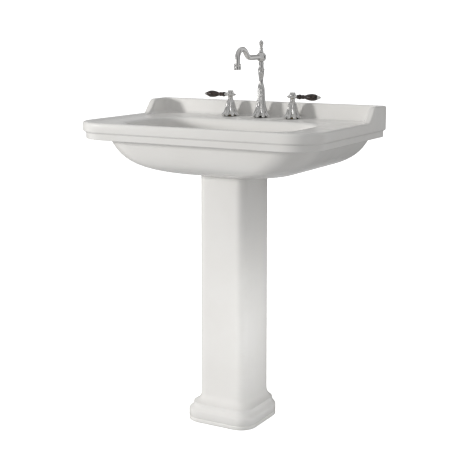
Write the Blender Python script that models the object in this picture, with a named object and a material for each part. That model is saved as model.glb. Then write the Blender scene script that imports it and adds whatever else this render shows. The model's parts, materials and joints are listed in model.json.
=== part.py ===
"""Pedestal sink with a three-piece lever tap set, a pop-up waste and a trap.

Metres, +Z up, +X to the user's right, +Y towards the wall.
The origin is on the floor: X = 0 is the plane of symmetry and Y = 0 is the middle
of the basin's depth.
"""
import math

import bmesh
import bpy
from mathutils import Matrix, Vector

# ------------------------------------------------------------ driving sizes
WIDTH = 0.735            # basin, side to side
DEPTH = 0.482            # basin, wall to front
RIM_Z = 0.862            # top of the raised rim
UNDER_RIM_Z = 0.8145     # flat underside of the moulded rim
SPLASH_Z = 0.902         # top of the upstand
DECK_Z = 0.858           # flat table inside the rim, where the taps stand
DECK_UNDER_Z = 0.845
SEAT_Z = 0.714           # flat underside of the bowl, on the pedestal
FLOOR_Z = 0.731          # inside floor of the bowl
WALL_Y = DEPTH / 2       # the wall plane
FRONT_Y = -DEPTH / 2
GAP = 0.0004             # clearance between pieces that touch
RIM_CORNER = 0.093       # front corners of the rim in plan
RIM_BACK_CORNER = 0.008

UPSTAND = 0.020          # thickness of the upstand along the wall
WING = 0.021             # thickness of its two forward ends
WING_LEVEL = 0.075       # the ends are level this far forward of the wall
WING_REACH = 0.128       # and meet the rim here
WING_FILLET = 0.022      # inside corner between upstand and end

LIP_HALF = 0.268         # bowl's edge in plan: half width, distance from the
LIP_FRONT = 0.048        # front and the wall, and corner radius
LIP_BACK = 0.150
LIP_CORNER = 0.075
LIP_DROP = 0.009         # the bowl proper starts this far under the table

BAY_HALF = 0.262         # service bay behind the bowl
BAY_WALL = 0.014
TAP_HOLE = 0.0155
WALL_BOLT_X = 0.150
WALL_BOLT_Z = 0.800
WALL_BORE = 0.006

COLUMN_HALF = 0.0755     # column at its foot
COLUMN_HALF_DEPTH = 0.0815
COLUMN_CORNER = 0.030
COLUMN_TAPER = 0.0015    # narrower by this on every side at the top
SHELL = 0.011
COLUMN_TOP = SEAT_Z - 0.0016
COLUMN_FOOT_Z = 0.080    # where the foot mouldings end
BACK_SHARE = 0.35        # share of the mouldings' projection at the back
OPENING_HALF = 0.057     # open back of the pedestal
OPENING_BACK = 0.040     # the opening starts this far behind the middle
FLOOR_BOLT_X = 0.044
LUG_IN, LUG_OUT, LUG_LOW, LUG_HIGH = 0.030, 0.080, 0.010, 0.024

# (height, how far the foot stands out past the column)
FOOT_STEPS = ((0.0, 0.0290), (0.003, 0.0315), (0.0105, 0.0315), (0.0115, 0.0295), (0.0135, 0.0295),
              (0.0145, 0.0315), (0.0325, 0.0315), (0.0355, 0.0300), (0.0400, 0.0245),
              (0.0445, 0.0210), (0.0490, 0.0200), (0.0535, 0.0195), (0.0545, 0.0168),
              (0.0580, 0.0105), (0.0630, 0.0050), (0.0700, 0.0015), (COLUMN_FOOT_Z, 0.0))

TAP_PITCH = 0.1016       # tap axis to spout axis
TAP_Y = WALL_Y - 0.056
DRAIN_Y = WALL_Y - 0.245
COLUMN_Y = WALL_Y - 0.212

HUB_Z = 1.031            # axis height of the spout hub
LEVER_Z = 0.921          # axis height of the two levers

PIVOT_ARM = 0.100        # ball to clevis strap
PIVOT_TIP = 0.028        # ball to stopper stem
PIVOT_TILT = 0.15        # radians below level at rest
PIVOT_Y = DRAIN_Y + PIVOT_TIP
PIVOT_Z = 0.664
STRAP_Y = PIVOT_Y + PIVOT_ARM
STOPPER_TRAVEL = 2 * PIVOT_TILT * PIVOT_TIP
CLEVIS_Z = 0.731         # screw that clamps the lift rod

TRAP_RADIUS = 0.045      # centre line of the return bend
TRAP_Z = 0.430           # where the return bend starts
ARM_Z = 0.505            # height of the waste arm into the wall
ARM_BEND = 0.034
WASTE_TUBE = 0.0165      # outside radius of tailpiece and waste arm
TRAP_TUBE = 0.0186       # outside radius of the return bend
TRAP_MOUTH_Z = 0.480     # open ends of the return bend
TRAP_EXIT_Z = 0.452
TRAP_SWING = 0.4236      # radians the bend is swung to the left of straight back
OUTLET_X = -2 * TRAP_RADIUS * math.sin(TRAP_SWING)
OUTLET_Y = DRAIN_Y + 2 * TRAP_RADIUS * math.cos(TRAP_SWING)
LINK_Z = 0.7925          # height of the pipes between valves and spout

LOBES = 8                # petals round the foot of each tap


# ---------------------------------------------------------------- materials
def material(name, color, roughness, metallic=0.0):
    mat = bpy.data.materials.new(name)
    mat.use_nodes = True
    shader = mat.node_tree.nodes["Principled BSDF"]
    shader.inputs["Base Color"].default_value = (*color, 1.0)
    shader.inputs["Roughness"].default_value = roughness
    shader.inputs["Metallic"].default_value = metallic
    mat.diffuse_color = (*color, 1.0)
    return mat


def vitreous_china():
    return material("vitreous_china", (0.86, 0.855, 0.83), 0.12)


def polished_chrome():
    return material("polished_chrome", (0.78, 0.78, 0.77), 0.08, 1.0)


def black_glaze():
    return material("black_glaze", (0.012, 0.009, 0.008), 0.10)


def plain_brass():
    return material("plain_brass", (0.72, 0.55, 0.27), 0.32, 1.0)


def black_rubber():
    return material("black_rubber", (0.03, 0.03, 0.03), 0.75)


def zinc_steel():
    return material("zinc_steel", (0.62, 0.63, 0.64), 0.38, 1.0)


# ---------------------------------------------------------- making a solid
def finish(name, mesh_data, mat, place=None, smooth_angle=38.0):
    """Turn a bmesh into an object with outward faces, shaded smooth."""
    bmesh.ops.recalc_face_normals(mesh_data, faces=mesh_data.faces)
    mesh = bpy.data.meshes.new(name)
    mesh_data.to_mesh(mesh)
    mesh_data.free()
    mesh.shade_smooth()
    mesh.set_sharp_from_angle(angle=math.radians(smooth_angle))
    obj = bpy.data.objects.new(name, mesh)
    obj.data.materials.append(mat)
    bpy.context.collection.objects.link(obj)
    if place is not None:
        obj.matrix_world = place
    return obj


def bridge(mesh_data, low, high):
    """Join two loops of vertices; a loop of one vertex is a pole."""
    count = max(len(low), len(high))
    for i in range(count):
        j = (i + 1) % count
        if len(low) == 1:
            mesh_data.faces.new((low[0], high[j], high[i]))
        elif len(high) == 1:
            mesh_data.faces.new((low[i], low[j], high[0]))
        else:
            mesh_data.faces.new((low[i], low[j], high[j], high[i]))


def stacked(name, rings, mat, place=None, closed=False, smooth_angle=38.0):
    """Bridge a stack of point loops; capped at both ends, or closed on itself."""
    mesh_data = bmesh.new()
    loops = [[mesh_data.verts.new(point) for point in ring] for ring in rings]
    for low, high in zip(loops, loops[1:]):
        bridge(mesh_data, low, high)
    if closed:
        bridge(mesh_data, loops[-1], loops[0])
    else:
        for loop in (loops[0], loops[-1]):
            if len(loop) > 2:
                mesh_data.faces.new(loop)
    return finish(name, mesh_data, mat, place, smooth_angle)


def radius_at(radius, angle, shape):
    """Round by default, "hex" for a nut's flats, or a lobe depth for petals."""
    if shape is None:
        return radius
    if shape == "hex":
        return radius / math.cos((angle + math.pi / 6) % (math.pi / 3) - math.pi / 6)
    return radius * (1.0 + shape * math.cos(LOBES * angle))


def turned(name, outline, mat, place, segments=12, smooth_angle=38.0):
    """Turn an outline of (radius, height[, shape]) about its own Z.

    An outline that starts and ends at radius 0 is a solid piece; any other
    outline closes on itself and leaves a bore.
    """
    rings = []
    for radius, height, *rest in outline:
        shape = rest[0] if rest else None
        if radius == 0:
            rings.append([(0.0, 0.0, height)])
            continue
        ring = []
        for i in range(segments):
            angle = 2 * math.pi * i / segments
            reach = radius_at(radius, angle, shape)
            ring.append((reach * math.cos(angle), reach * math.sin(angle), height))
        rings.append(ring)
    closed = outline[0][0] != 0
    return stacked(name, rings, mat, place, closed, smooth_angle)


def swept_rings(path, radius, segments):
    """Loops of points round a path, turned as little as possible."""
    points = [Vector(point) for point in path]
    side = Vector((1.0, 0.0, 0.0))
    rings = []
    for i, point in enumerate(points):
        before = points[max(i - 1, 0)]
        after = points[min(i + 1, len(points) - 1)]
        along = (after - before).normalized()
        if abs(along.dot(side)) > 0.9:
            side = Vector((0.0, 1.0, 0.0))
        across = (side - along * side.dot(along)).normalized()
        upright = along.cross(across)
        ring = []
        for k in range(segments):
            angle = 2 * math.pi * k / segments
            offset = across * math.cos(angle) + upright * math.sin(angle)
            ring.append(tuple(point + offset * radius))
        rings.append(ring)
    return rings


def pipe(name, path, outer, inner, mat, segments=16):
    """A hollow tube along a path, open at both ends."""
    rings = swept_rings(path, outer, segments) + swept_rings(path, inner, segments)[::-1]
    return stacked(name, rings, mat, closed=True, smooth_angle=50.0)


def rod(name, path, radius, mat, segments=12):
    return stacked(name, swept_rings(path, radius, segments), mat, smooth_angle=50.0)


def box(name, low, high, mat):
    mesh_data = bmesh.new()
    bmesh.ops.create_cube(mesh_data, size=1.0)
    size = [b - a for a, b in zip(low, high)]
    middle = [(a + b) / 2 for a, b in zip(low, high)]
    for vert in mesh_data.verts:
        vert.co = Vector([m + s * c for m, s, c in zip(middle, size, vert.co)])
    return finish(name, mesh_data, mat)


def arc(centre_y, centre_z, radius, start, end, steps, x=0.0):
    """Points on an arc in a plane of constant X, angles in degrees from +Y."""
    points = []
    for i in range(steps + 1):
        angle = math.radians(start + (end - start) * i / steps)
        points.append((x, centre_y + radius * math.cos(angle),
                       centre_z + radius * math.sin(angle)))
    return points


def at(x, y, z=0.0):
    return Matrix.Translation((x, y, z))


def facing(x, y, z, direction):
    """Place a turned piece so that its own Z points along a direction."""
    turn = Vector(direction).to_track_quat("Z", "Y").to_matrix().to_4x4()
    return Matrix.Translation((x, y, z)) @ turn


def boolean(target, tool, operation):
    tool.hide_render = True
    tool.display_type = "WIRE"
    modifier = target.modifiers.new(tool.name, "BOOLEAN")
    modifier.operation = operation
    modifier.solver = "EXACT"
    modifier.object = tool


def cut(target, tool):
    boolean(target, tool, "DIFFERENCE")


def weld(target, tool):
    boolean(target, tool, "UNION")


# -------------------------------------------------------------- china bodies
def plan_loop(half, front, back, front_radius, back_radius, z, steps=5):
    """A loop in plan: a rounded rectangle with its own front and back corners."""
    corners = ((1, back, back_radius, 0), (-1, back, back_radius, 90),
               (-1, front, front_radius, 180), (1, front, front_radius, 270))
    loop = []
    for side, edge, radius, start in corners:
        toward = -1 if edge == back else 1
        centre_x = side * (half - radius)
        centre_y = edge + toward * radius
        for i in range(steps + 1):
            angle = math.radians(start + 90 * i / steps)
            loop.append((centre_x + radius * math.cos(angle),
                         centre_y + radius * math.sin(angle), z))
    return loop


def rim_loop(inset, z, back_inset=0.0):
    return plan_loop(WIDTH / 2 - inset, FRONT_Y + inset, WALL_Y - back_inset,
                     RIM_CORNER - inset / 2, RIM_BACK_CORNER, z)


def hull_sides(z):
    """Half width and front edge of the bowl's outside at a height."""
    drop = (UNDER_RIM_Z - z) / (UNDER_RIM_Z - SEAT_Z)
    half = WIDTH / 2 - 0.045 - 0.058 * drop - 0.087 * drop ** 3 - 0.035 * drop ** 8
    front = FRONT_Y + 0.058 + 0.03 * drop ** 2 + 0.09 * drop ** 8
    return half, front


def hull_loop(z):
    half, front = hull_sides(z)
    return plan_loop(half, front, WALL_Y - 0.001, 0.10, RIM_BACK_CORNER, z)


def bowl_edges(z):
    """Half width, front edge and back edge of the bowl's inside at a height."""
    drop = (DECK_Z - LIP_DROP - z) / (DECK_Z - LIP_DROP - FLOOR_Z)
    curl = 1 - math.sqrt(max(0.0, 1 - drop ** 2.5))
    half = LIP_HALF - 0.018 - 0.03 * drop - 0.10 * curl
    front = FRONT_Y + LIP_FRONT + 0.010 + 0.05 * drop + 0.072 * curl
    back = WALL_Y - LIP_BACK - 0.010 - 0.01 * drop - 0.02 * curl
    return half, front, back


def bowl_loop(z, corner):
    half, front, back = bowl_edges(z)
    return plan_loop(half, front, back, corner, corner, z)


def lip_loop(inset, z):
    """The rounded edge of the bowl, which is twice as wide at its two ends."""
    return plan_loop(LIP_HALF - 2 * inset, FRONT_Y + LIP_FRONT + inset, WALL_Y - LIP_BACK - inset,
                     LIP_CORNER, LIP_CORNER, z)


def basin_shell(mat):
    """The outside of the bowl, the moulded rim, the table and the bowl's inside."""
    loops = [hull_loop(SEAT_Z + rise)
             for rise in (0.0, 0.002, 0.006, 0.013, 0.024, 0.040, 0.060, 0.085)]
    loops.append(hull_loop(UNDER_RIM_Z - 0.004))
    loops.append(rim_loop(0.045, UNDER_RIM_Z, 0.001))
    loops.append(rim_loop(0.0085, UNDER_RIM_Z + 0.0005))
    loops.append(rim_loop(0.0070, UNDER_RIM_Z + 0.003))
    loops.append(rim_loop(0.0070, UNDER_RIM_Z + 0.017))
    loops.append(rim_loop(0.0035, UNDER_RIM_Z + 0.0195))
    loops.append(rim_loop(0.0, UNDER_RIM_Z + 0.0215))
    loops.append(rim_loop(0.0, RIM_Z - 0.006))
    loops.append(rim_loop(0.0018, RIM_Z - 0.0018))
    loops.append(rim_loop(0.006, RIM_Z))
    loops.append(rim_loop(0.016, RIM_Z - 0.0008))
    loops.append(rim_loop(0.027, DECK_Z + 0.0012))
    loops.append(rim_loop(0.036, DECK_Z, 0.004))
    loops.append(lip_loop(0.0, DECK_Z))
    loops.append(lip_loop(0.0035, DECK_Z - 0.0012))
    loops.append(lip_loop(0.0070, DECK_Z - 0.0042))
    for z, corner in ((DECK_Z - LIP_DROP, 0.072), (0.826, 0.074), (0.798, 0.076), (0.773, 0.078),
                      (0.755, 0.076), (0.743, 0.070), (0.7356, 0.062), (0.7321, 0.055)):
        loops.append(bowl_loop(z, corner))
    loops.append(bowl_loop(FLOOR_Z, 0.050))
    return stacked("basin", loops, mat)


def wing_top(y):
    """Height of the upstand's ends: level at the wall, then an ogee to the rim."""
    forward = WALL_Y - y
    reach = min(1.0, max(0.0, (forward - WING_LEVEL) / (WING_REACH - WING_LEVEL)))
    return SPLASH_Z - (SPLASH_Z - RIM_Z + 0.002) * (0.5 - 0.5 * math.cos(math.pi * reach))


def upstand(mat):
    """Low splashback with a forward wing at each end, one section after another."""
    half, inner, face = WIDTH / 2 - 0.0002, WIDTH / 2 - WING, WALL_Y - UPSTAND
    back = WALL_Y - 0.0003
    start, end = WALL_Y - WING_REACH - 0.002, face - WING_FILLET
    stations = []
    for step in range(11):
        y = start + (end - start) * step / 10
        stations.append(((-half, y), (-inner, y), wing_top(y)))
    for step in range(1, 4):
        angle = math.radians(90 * step / 4)
        in_x = -inner + WING_FILLET * (1 - math.cos(angle))
        in_y = end + WING_FILLET * math.sin(angle)
        stations.append(((-half, end + (back - end) * step / 4), (in_x, in_y), SPLASH_Z))
    turn_x = -inner + WING_FILLET
    stations.append(((-half + 0.002, back), (turn_x, face), SPLASH_Z))
    stations.append(((turn_x + 0.02, back), (turn_x + 0.02, face), SPLASH_Z))
    mirrored = [((-ox, oy), (-ix, iy), top) for (ox, oy), (ix, iy), top in reversed(stations)]
    rings = []
    for (ox, oy), (ix, iy), top in stations + mirrored:
        outer, inside = Vector((ox, oy)), Vector((ix, iy))
        across = (inside - outer).normalized()
        rounding = min(0.004, max(0.0005, (top - DECK_Z) / 3))
        spread = 0.005 + 0.006 * abs(across.x)
        ring = []
        for offset, z in ((outer, DECK_UNDER_Z + 0.004),
                          (outer, top - rounding),
                          (outer + across * rounding * 0.3, top - rounding * 0.3),
                          (outer + across * rounding, top),
                          (inside - across * rounding, top),
                          (inside - across * rounding * 0.3, top - rounding * 0.3),
                          (inside, top - rounding),
                          (inside + across * spread * 0.5, min(DECK_Z + 0.006, top - rounding)),
                          (inside + across * spread, DECK_Z - 0.001),
                          (inside + across * spread, DECK_UNDER_Z + 0.004)):
            ring.append((offset.x, offset.y, z))
        rings.append(ring)
    return stacked("upstand_form", rings, mat)


def service_bay(mat):
    """The open space behind the bowl and under the table, open below."""
    loops = []
    for z in (SEAT_Z - 0.004, SEAT_Z + 0.006, 0.731, 0.743, 0.757, 0.779, 0.807, DECK_UNDER_Z):
        level = max(z, SEAT_Z)
        half = min(BAY_HALF, hull_sides(min(level, UNDER_RIM_Z))[0] - BAY_WALL)
        front = bowl_edges(max(level, FLOOR_Z))[2] + 0.013
        if z == DECK_UNDER_Z:
            front += 0.004
        loops.append(plan_loop(half, front, WALL_Y - BAY_WALL, 0.012, 0.012, z, 2))
    return stacked("service_bay", loops, mat)


def overflow_passage(mat):
    path = [(0, WALL_Y - 0.385, 0.827), (0, WALL_Y - 0.402, 0.8255), (0, WALL_Y - 0.411, 0.818),
            (0, WALL_Y - 0.407, 0.785), (0, WALL_Y - 0.396, 0.759), (0, WALL_Y - 0.372, 0.742),
            (0, WALL_Y - 0.335, 0.7280), (0, WALL_Y - 0.300, 0.7228), (0, WALL_Y - 0.255, 0.7228)]
    return rod("overflow_passage", path, 0.0045, mat, 8)


def basin():
    mat = vitreous_china()
    body = basin_shell(mat)
    weld(body, upstand(mat))
    cut(body, service_bay(mat))
    for index, x in enumerate((-TAP_PITCH, 0.0, TAP_PITCH)):
        hole = [(0, 0.830), (TAP_HOLE, 0.830), (TAP_HOLE, 0.870), (0, 0.870)]
        cut(body, turned("tap_hole_%d" % index, hole, mat, at(x, TAP_Y), 12))
    well = [(0, 0.709), (0.022, 0.709), (0.022, 0.7278), (0.0315, 0.7278), (0.0315, 0.739), (0, 0.739)]
    cut(body, turned("waste_hole", well, mat, at(0, DRAIN_Y), 16))
    cut(body, overflow_passage(mat))
    for side in (-1, 1):
        bore = [(0, -0.004), (WALL_BORE, -0.004), (WALL_BORE, 0.020), (0, 0.020)]
        cut(body, turned("bolt_bore_%d" % side, bore, mat,
                         facing(side * WALL_BOLT_X, WALL_Y, WALL_BOLT_Z, (0, -1, 0)), 12))
    return body


# ---------------------------------------------------------------- pedestal
def column_loop(grow, z, corner, back_share=1.0):
    """The column's outline at a height, which narrows a little towards the top."""
    rise = max(0.0, z - COLUMN_FOOT_Z) / (COLUMN_TOP - COLUMN_FOOT_Z)
    side = grow - COLUMN_TAPER * rise
    back = grow * back_share - COLUMN_TAPER * rise
    return plan_loop(COLUMN_HALF + side, COLUMN_Y - COLUMN_HALF_DEPTH - side,
                     COLUMN_Y + COLUMN_HALF_DEPTH + back, corner, corner, z, 4)


def pedestal():
    mat = vitreous_china()
    outside = [column_loop(grow, z, COLUMN_CORNER + grow * 0.6, BACK_SHARE) for z, grow in FOOT_STEPS]
    outside.append(column_loop(0.0, 0.40, COLUMN_CORNER))
    outside.append(column_loop(-0.0005, COLUMN_TOP - 0.003, COLUMN_CORNER))
    outside.append(column_loop(-0.0030, COLUMN_TOP, COLUMN_CORNER))
    inside = []
    for z, grow in ((COLUMN_TOP, 0.0), (0.40, 0.0), (0.075, 0.0), (0.044, 0.010), (0.0, 0.012)):
        inside.append(column_loop(grow - SHELL, z, COLUMN_CORNER - 0.012))
    body = stacked("pedestal", outside + inside, mat, closed=True)
    low = (-OPENING_HALF, COLUMN_Y + OPENING_BACK, -0.01)
    high = (OPENING_HALF, WALL_Y, COLUMN_TOP + 0.01)
    cut(body, box("back_opening", low, high, mat))
    for side in (-1, 1):
        low = (min(side * LUG_IN, side * LUG_OUT), COLUMN_Y - 0.018, LUG_LOW)
        high = (max(side * LUG_IN, side * LUG_OUT), COLUMN_Y + 0.018, LUG_HIGH)
        weld(body, box("foot_lug_%d" % side, low, high, mat))
        bore = [(0, 0.0), (0.0045, 0.0), (0.0045, 0.03), (0, 0.03)]
        cut(body, turned("lug_bore_%d" % side, bore, mat, at(side * FLOOR_BOLT_X, COLUMN_Y), 12))
    return body


def seat_gasket():
    mat = black_rubber()
    rings = []
    for shrink, z in ((0.0038, COLUMN_TOP + GAP), (0.0038, SEAT_Z - GAP),
                      (0.0098, SEAT_Z - GAP), (0.0098, COLUMN_TOP + GAP)):
        rings.append(column_loop(-shrink, z, COLUMN_CORNER - shrink))
    body = stacked("seat_gasket", rings, mat, closed=True)
    low = (-OPENING_HALF - 0.001, COLUMN_Y + OPENING_BACK, SEAT_Z - 0.02)
    cut(body, box("gasket_gap", low, (OPENING_HALF + 0.001, WALL_Y, SEAT_Z + 0.01), mat))
    return body


# ------------------------------------------------------------- fixings
def wall_fixing(side, label):
    """Stud from the wall, rubber washer and hex nut inside the service bay."""
    x, z = side * WALL_BOLT_X, WALL_BOLT_Z
    toward = (0, -1, 0)
    stud = [(0, 0.0005), (0.0035, 0.0005), (0.0040, 0.001), (0.0040, 0.041), (0.0030, 0.043), (0, 0.043)]
    turned("wall_stud_" + label, stud, zinc_steel(), facing(x, WALL_Y, z, toward), 12)
    washer = [(0.0044, 0.0144), (0.013, 0.0144), (0.013, 0.0172), (0.0044, 0.0172)]
    turned("wall_washer_" + label, washer, black_rubber(), facing(x, WALL_Y, z, toward), 12)
    nut = [(0.0044, 0.0176), (0.0062, 0.0176, "hex"), (0.0075, 0.0186, "hex"),
           (0.0075, 0.0246, "hex"), (0.0062, 0.0256, "hex"), (0.0044, 0.0256)]
    turned("wall_nut_" + label, nut, zinc_steel(), facing(x, WALL_Y, z, toward), 12)


def floor_fixing(side, label):
    """Stud standing in the floor and the domed nut that holds the foot down."""
    x = side * FLOOR_BOLT_X
    stud = [(0, 0.0005), (0.0032, 0.0005), (0.0035, 0.001), (0.0035, 0.0300), (0.0028, 0.0310), (0, 0.0310)]
    turned("floor_stud_" + label, stud, zinc_steel(), at(x, COLUMN_Y), 12)
    nut = [(0, 0.0400), (0.0045, 0.0385), (0.0062, 0.0350), (0.0066, 0.0320, "hex"),
           (0.0066, 0.0262, "hex"), (0.0095, 0.0258), (0.0095, 0.0244), (0.0039, 0.0244),
           (0.0039, 0.0325), (0, 0.0325)]
    turned("floor_nut_" + label, nut, zinc_steel(), at(x, COLUMN_Y), 12)


# --------------------------------------------------------- pop-up waste
def drain_flange():
    shape = [(0.0150, 0.7080), (0.0170, 0.7080), (0.0170, 0.7230), (0.0205, 0.7282), (0.0310, 0.7282),
             (0.0310, 0.7295), (0.0290, 0.7318), (0.0240, 0.7318), (0.0218, 0.7302), (0.0150, 0.7215)]
    return turned("drain_flange", shape, polished_chrome(), at(0, DRAIN_Y), 16)


def drain_body():
    mat = polished_chrome()
    shape = [(0.0174, 0.6340), (0.0215, 0.6340), (0.0215, 0.6490), (0.0195, 0.6510), (0.0195, 0.7220),
             (0.0174, 0.7220)]
    body = turned("drain_body", shape, mat, at(0, DRAIN_Y), 16)
    spigot = [(0, 0.0185), (0.0100, 0.0185), (0.0100, 0.0370), (0, 0.0370)]
    weld(body, turned("port_form", spigot, mat, facing(0, DRAIN_Y, PIVOT_Z, (0, 1, 0))))
    bore = [(0, 0.0100), (0.0060, 0.0100), (0.0060, 0.0205), (0.0069, 0.0215), (0.0069, 0.0400), (0, 0.0400)]
    cut(body, turned("port_bore", bore, mat, facing(0, DRAIN_Y, PIVOT_Z, (0, 1, 0))))
    return body


def drain_gasket():
    shape = [(0.0199, 0.7082), (0.0300, 0.7082), (0.0310, 0.7100), (0.0310, 0.7136), (0.0199, 0.7136)]
    return turned("drain_gasket", shape, black_rubber(), at(0, DRAIN_Y), 16)


def drain_locknut():
    shape = [(0.0199, 0.6980), (0.0250, 0.6980, "hex"), (0.0265, 0.6995, "hex"), (0.0265, 0.7050, "hex"),
             (0.0290, 0.7055), (0.0290, 0.7078), (0.0199, 0.7078)]
    return turned("drain_locknut", shape, plain_brass(), at(0, DRAIN_Y), 16)


def stopper():
    """Domed plug with a slotted stem, shown raised; it drops by STOPPER_TRAVEL."""
    mat = polished_chrome()
    lift = STOPPER_TRAVEL
    shape = [(0, 0.7335), (0.0100, 0.7328), (0.0165, 0.7305), (0.0186, 0.7280), (0.0186, 0.7268),
             (0.0140, 0.7260), (0.0140, 0.7225), (0.0148, 0.7223), (0.0140, 0.7210), (0.0065, 0.7190),
             (0.0060, 0.6550), (0.0050, 0.6530), (0, 0.6530)]
    shape = [(radius, z + lift) for radius, z in shape]
    body = turned("stopper", shape, mat, at(0, DRAIN_Y), 16)
    level = PIVOT_Z + PIVOT_TIP * math.tan(PIVOT_TILT)
    cut(body, box("stem_slot", (-0.0033, DRAIN_Y - 0.012, level - 0.0039),
                  (0.0033, DRAIN_Y + 0.012, level + 0.0039), mat))
    return body


def stopper_ring():
    lift = STOPPER_TRAVEL
    shape = [(0.0144, 0.7229), (0.0155, 0.7229), (0.0163, 0.7237), (0.0163, 0.7250), (0.0155, 0.7256),
             (0.0144, 0.7256)]
    return turned("stopper_ring", [(r, z + lift) for r, z in shape], black_rubber(), at(0, DRAIN_Y), 16)


def pivot_rod():
    """Ball lever: tip in the stopper's stem, tail through the clevis strap."""
    along = (0, math.cos(PIVOT_TILT), -math.sin(PIVOT_TILT))
    tail, tip, ball = PIVOT_ARM + 0.018, -PIVOT_TIP - 0.004, 0.0064
    shape = [(0, tip), (0.0018, tip), (0.0023, tip + 0.002)]
    for step in range(1, 6):
        angle = math.radians(-90 + 30 * step)
        shape.append((max(0.0023, ball * math.cos(angle)), ball * math.sin(angle)))
    shape += [(0.0023, tail - 0.002), (0.0018, tail), (0, tail)]
    return turned("pivot_rod", shape, polished_chrome(), facing(0, PIVOT_Y, PIVOT_Z, along), 12)


def pivot_nut():
    shape = [(0.0104, 0.0240), (0.0125, 0.0240), (0.0132, 0.0255), (0.0132, 0.0385), (0.0120, 0.0400),
             (0.0062, 0.0400), (0.0055, 0.0376), (0.0104, 0.0376)]
    return turned("pivot_nut", shape, polished_chrome(), facing(0, DRAIN_Y, PIVOT_Z, (0, 1, 0)))


def clevis_strap():
    """Flat bar hung from the lift rod, bent forward to the pivot rod."""
    mat = zinc_steel()
    half, thick = 0.006, 0.0016
    route = ((TAP_Y - 0.0085, 0.745), (TAP_Y - 0.0085, 0.712), (STRAP_Y, 0.674), (STRAP_Y, 0.620))
    rings = []
    for y, z in route:
        rings.append([(-half, y, z), (half, y, z), (half, y + thick, z), (-half, y + thick, z)])
    body = stacked("clevis_strap", rings, mat, smooth_angle=10)
    weld(body, box("clevis_boss", (-half + 0.0005, TAP_Y - 0.0080, 0.724),
                   (half - 0.0005, TAP_Y + 0.006, 0.738), mat))
    bore = [(0, 0.70), (0.0030, 0.70), (0.0030, 0.80), (0, 0.80)]
    cut(body, turned("rod_bore", bore, mat, at(0, TAP_Y)))
    thread = [(0, 0.0), (0.0024, 0.0), (0.0024, 0.02), (0, 0.02)]
    cut(body, turned("screw_bore", thread, mat, facing(0, TAP_Y, CLEVIS_Z, (0, -1, 0))))
    level = PIVOT_Z - PIVOT_ARM * math.tan(PIVOT_TILT)
    cut(body, box("strap_eye", (-0.0033, STRAP_Y - 0.01, level - 0.0040),
                  (0.0033, STRAP_Y + 0.01, level + 0.0040), mat))
    return body


def clevis_screw():
    shape = [(0, 0.0027), (0.0020, 0.0027), (0.0020, 0.0094), (0.0050, 0.0094), (0.0050, 0.0125),
             (0.0040, 0.0135), (0, 0.0135)]
    return turned("clevis_screw", shape, plain_brass(), facing(0, TAP_Y, CLEVIS_Z, (0, -1, 0)))


def lift_rod():
    shape = [(0, 0.715), (0.0018, 0.715), (0.0023, 0.716), (0.0023, 1.0645), (0, 1.0645)]
    return turned("lift_rod", shape, polished_chrome(), at(0, TAP_Y), 12)


def lift_knob():
    shape = [(0, 1.0660), (0.0027, 1.0660), (0.0027, 1.0586), (0.0036, 1.0586), (0.0034, 1.0610),
             (0.0048, 1.0645), (0.0060, 1.0680), (0.0062, 1.0710), (0.0052, 1.0745), (0.0034, 1.0775),
             (0, 1.0792)]
    return turned("lift_knob", shape, polished_chrome(), at(0, TAP_Y), 14)


def overflow_ring():
    """Trim ring on the front of the bowl, square to its slope."""
    shape = [(0.0049, 0.0), (0.0105, 0.0), (0.0105, 0.0008), (0.0090, 0.0022), (0.0065, 0.0022),
             (0.0049, 0.0008)]
    level, span = 0.827, 0.010
    slope = (bowl_edges(level - span)[1] - bowl_edges(level + span)[1]) / (2 * span)
    normal = Vector((0, 1.0, slope)).normalized()
    seat = Vector((0, bowl_edges(level)[1], level)) + normal * 0.0007
    return turned("overflow_ring", shape, polished_chrome(), facing(*seat, normal), 14)


# -------------------------------------------------------------- trap
def tailpiece():
    shape = [(0.0150, TRAP_MOUTH_Z - 0.009), (WASTE_TUBE, TRAP_MOUTH_Z - 0.009), (WASTE_TUBE, 0.6290),
             (0.0190, 0.6315), (0.0190, 0.6336), (0.0150, 0.6336)]
    return turned("tailpiece", shape, polished_chrome(), at(0, DRAIN_Y), 16)


def slip_nut(name, x, y, end_z):
    """Coupling nut round the trap's mouth, which ends at end_z."""
    shape = [(TRAP_TUBE + GAP, end_z - 0.0140), (0.0225, end_z - 0.0140), (0.0240, end_z - 0.0120),
             (0.0240, end_z + 0.0020), (0.0215, end_z + 0.0050), (WASTE_TUBE + GAP, end_z + 0.0050),
             (WASTE_TUBE + GAP, end_z + GAP), (TRAP_TUBE + GAP, end_z + GAP)]
    return turned(name, shape, polished_chrome(), at(x, y), 16)


def swung(point):
    """Swing a point of the straight-back trap about the tailpiece."""
    reach = point[1] - DRAIN_Y
    return (-reach * math.sin(TRAP_SWING), DRAIN_Y + reach * math.cos(TRAP_SWING), point[2])


def trap_bend():
    """Return bend that holds the water seal."""
    path = [(0, DRAIN_Y, TRAP_MOUTH_Z), (0, DRAIN_Y, 0.455)]
    path += arc(DRAIN_Y + TRAP_RADIUS, TRAP_Z, TRAP_RADIUS, 180, 360, 8)
    path += [(0, DRAIN_Y + 2 * TRAP_RADIUS, TRAP_EXIT_Z)]
    path = [swung(point) for point in path]
    return pipe("trap_bend", path, TRAP_TUBE, 0.0170, polished_chrome(), 16)


def trap_arm():
    """Elbow and straight run from the trap to the wall."""
    path = [(OUTLET_X, OUTLET_Y, TRAP_EXIT_Z - 0.008), (OUTLET_X, OUTLET_Y, ARM_Z - ARM_BEND)]
    path += arc(OUTLET_Y + ARM_BEND, ARM_Z - ARM_BEND, ARM_BEND, 180, 90, 4, OUTLET_X)[1:]
    path += [(OUTLET_X, WALL_Y - 0.0005, ARM_Z)]
    return pipe("trap_arm", path, WASTE_TUBE, 0.0150, polished_chrome(), 16)


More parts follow.
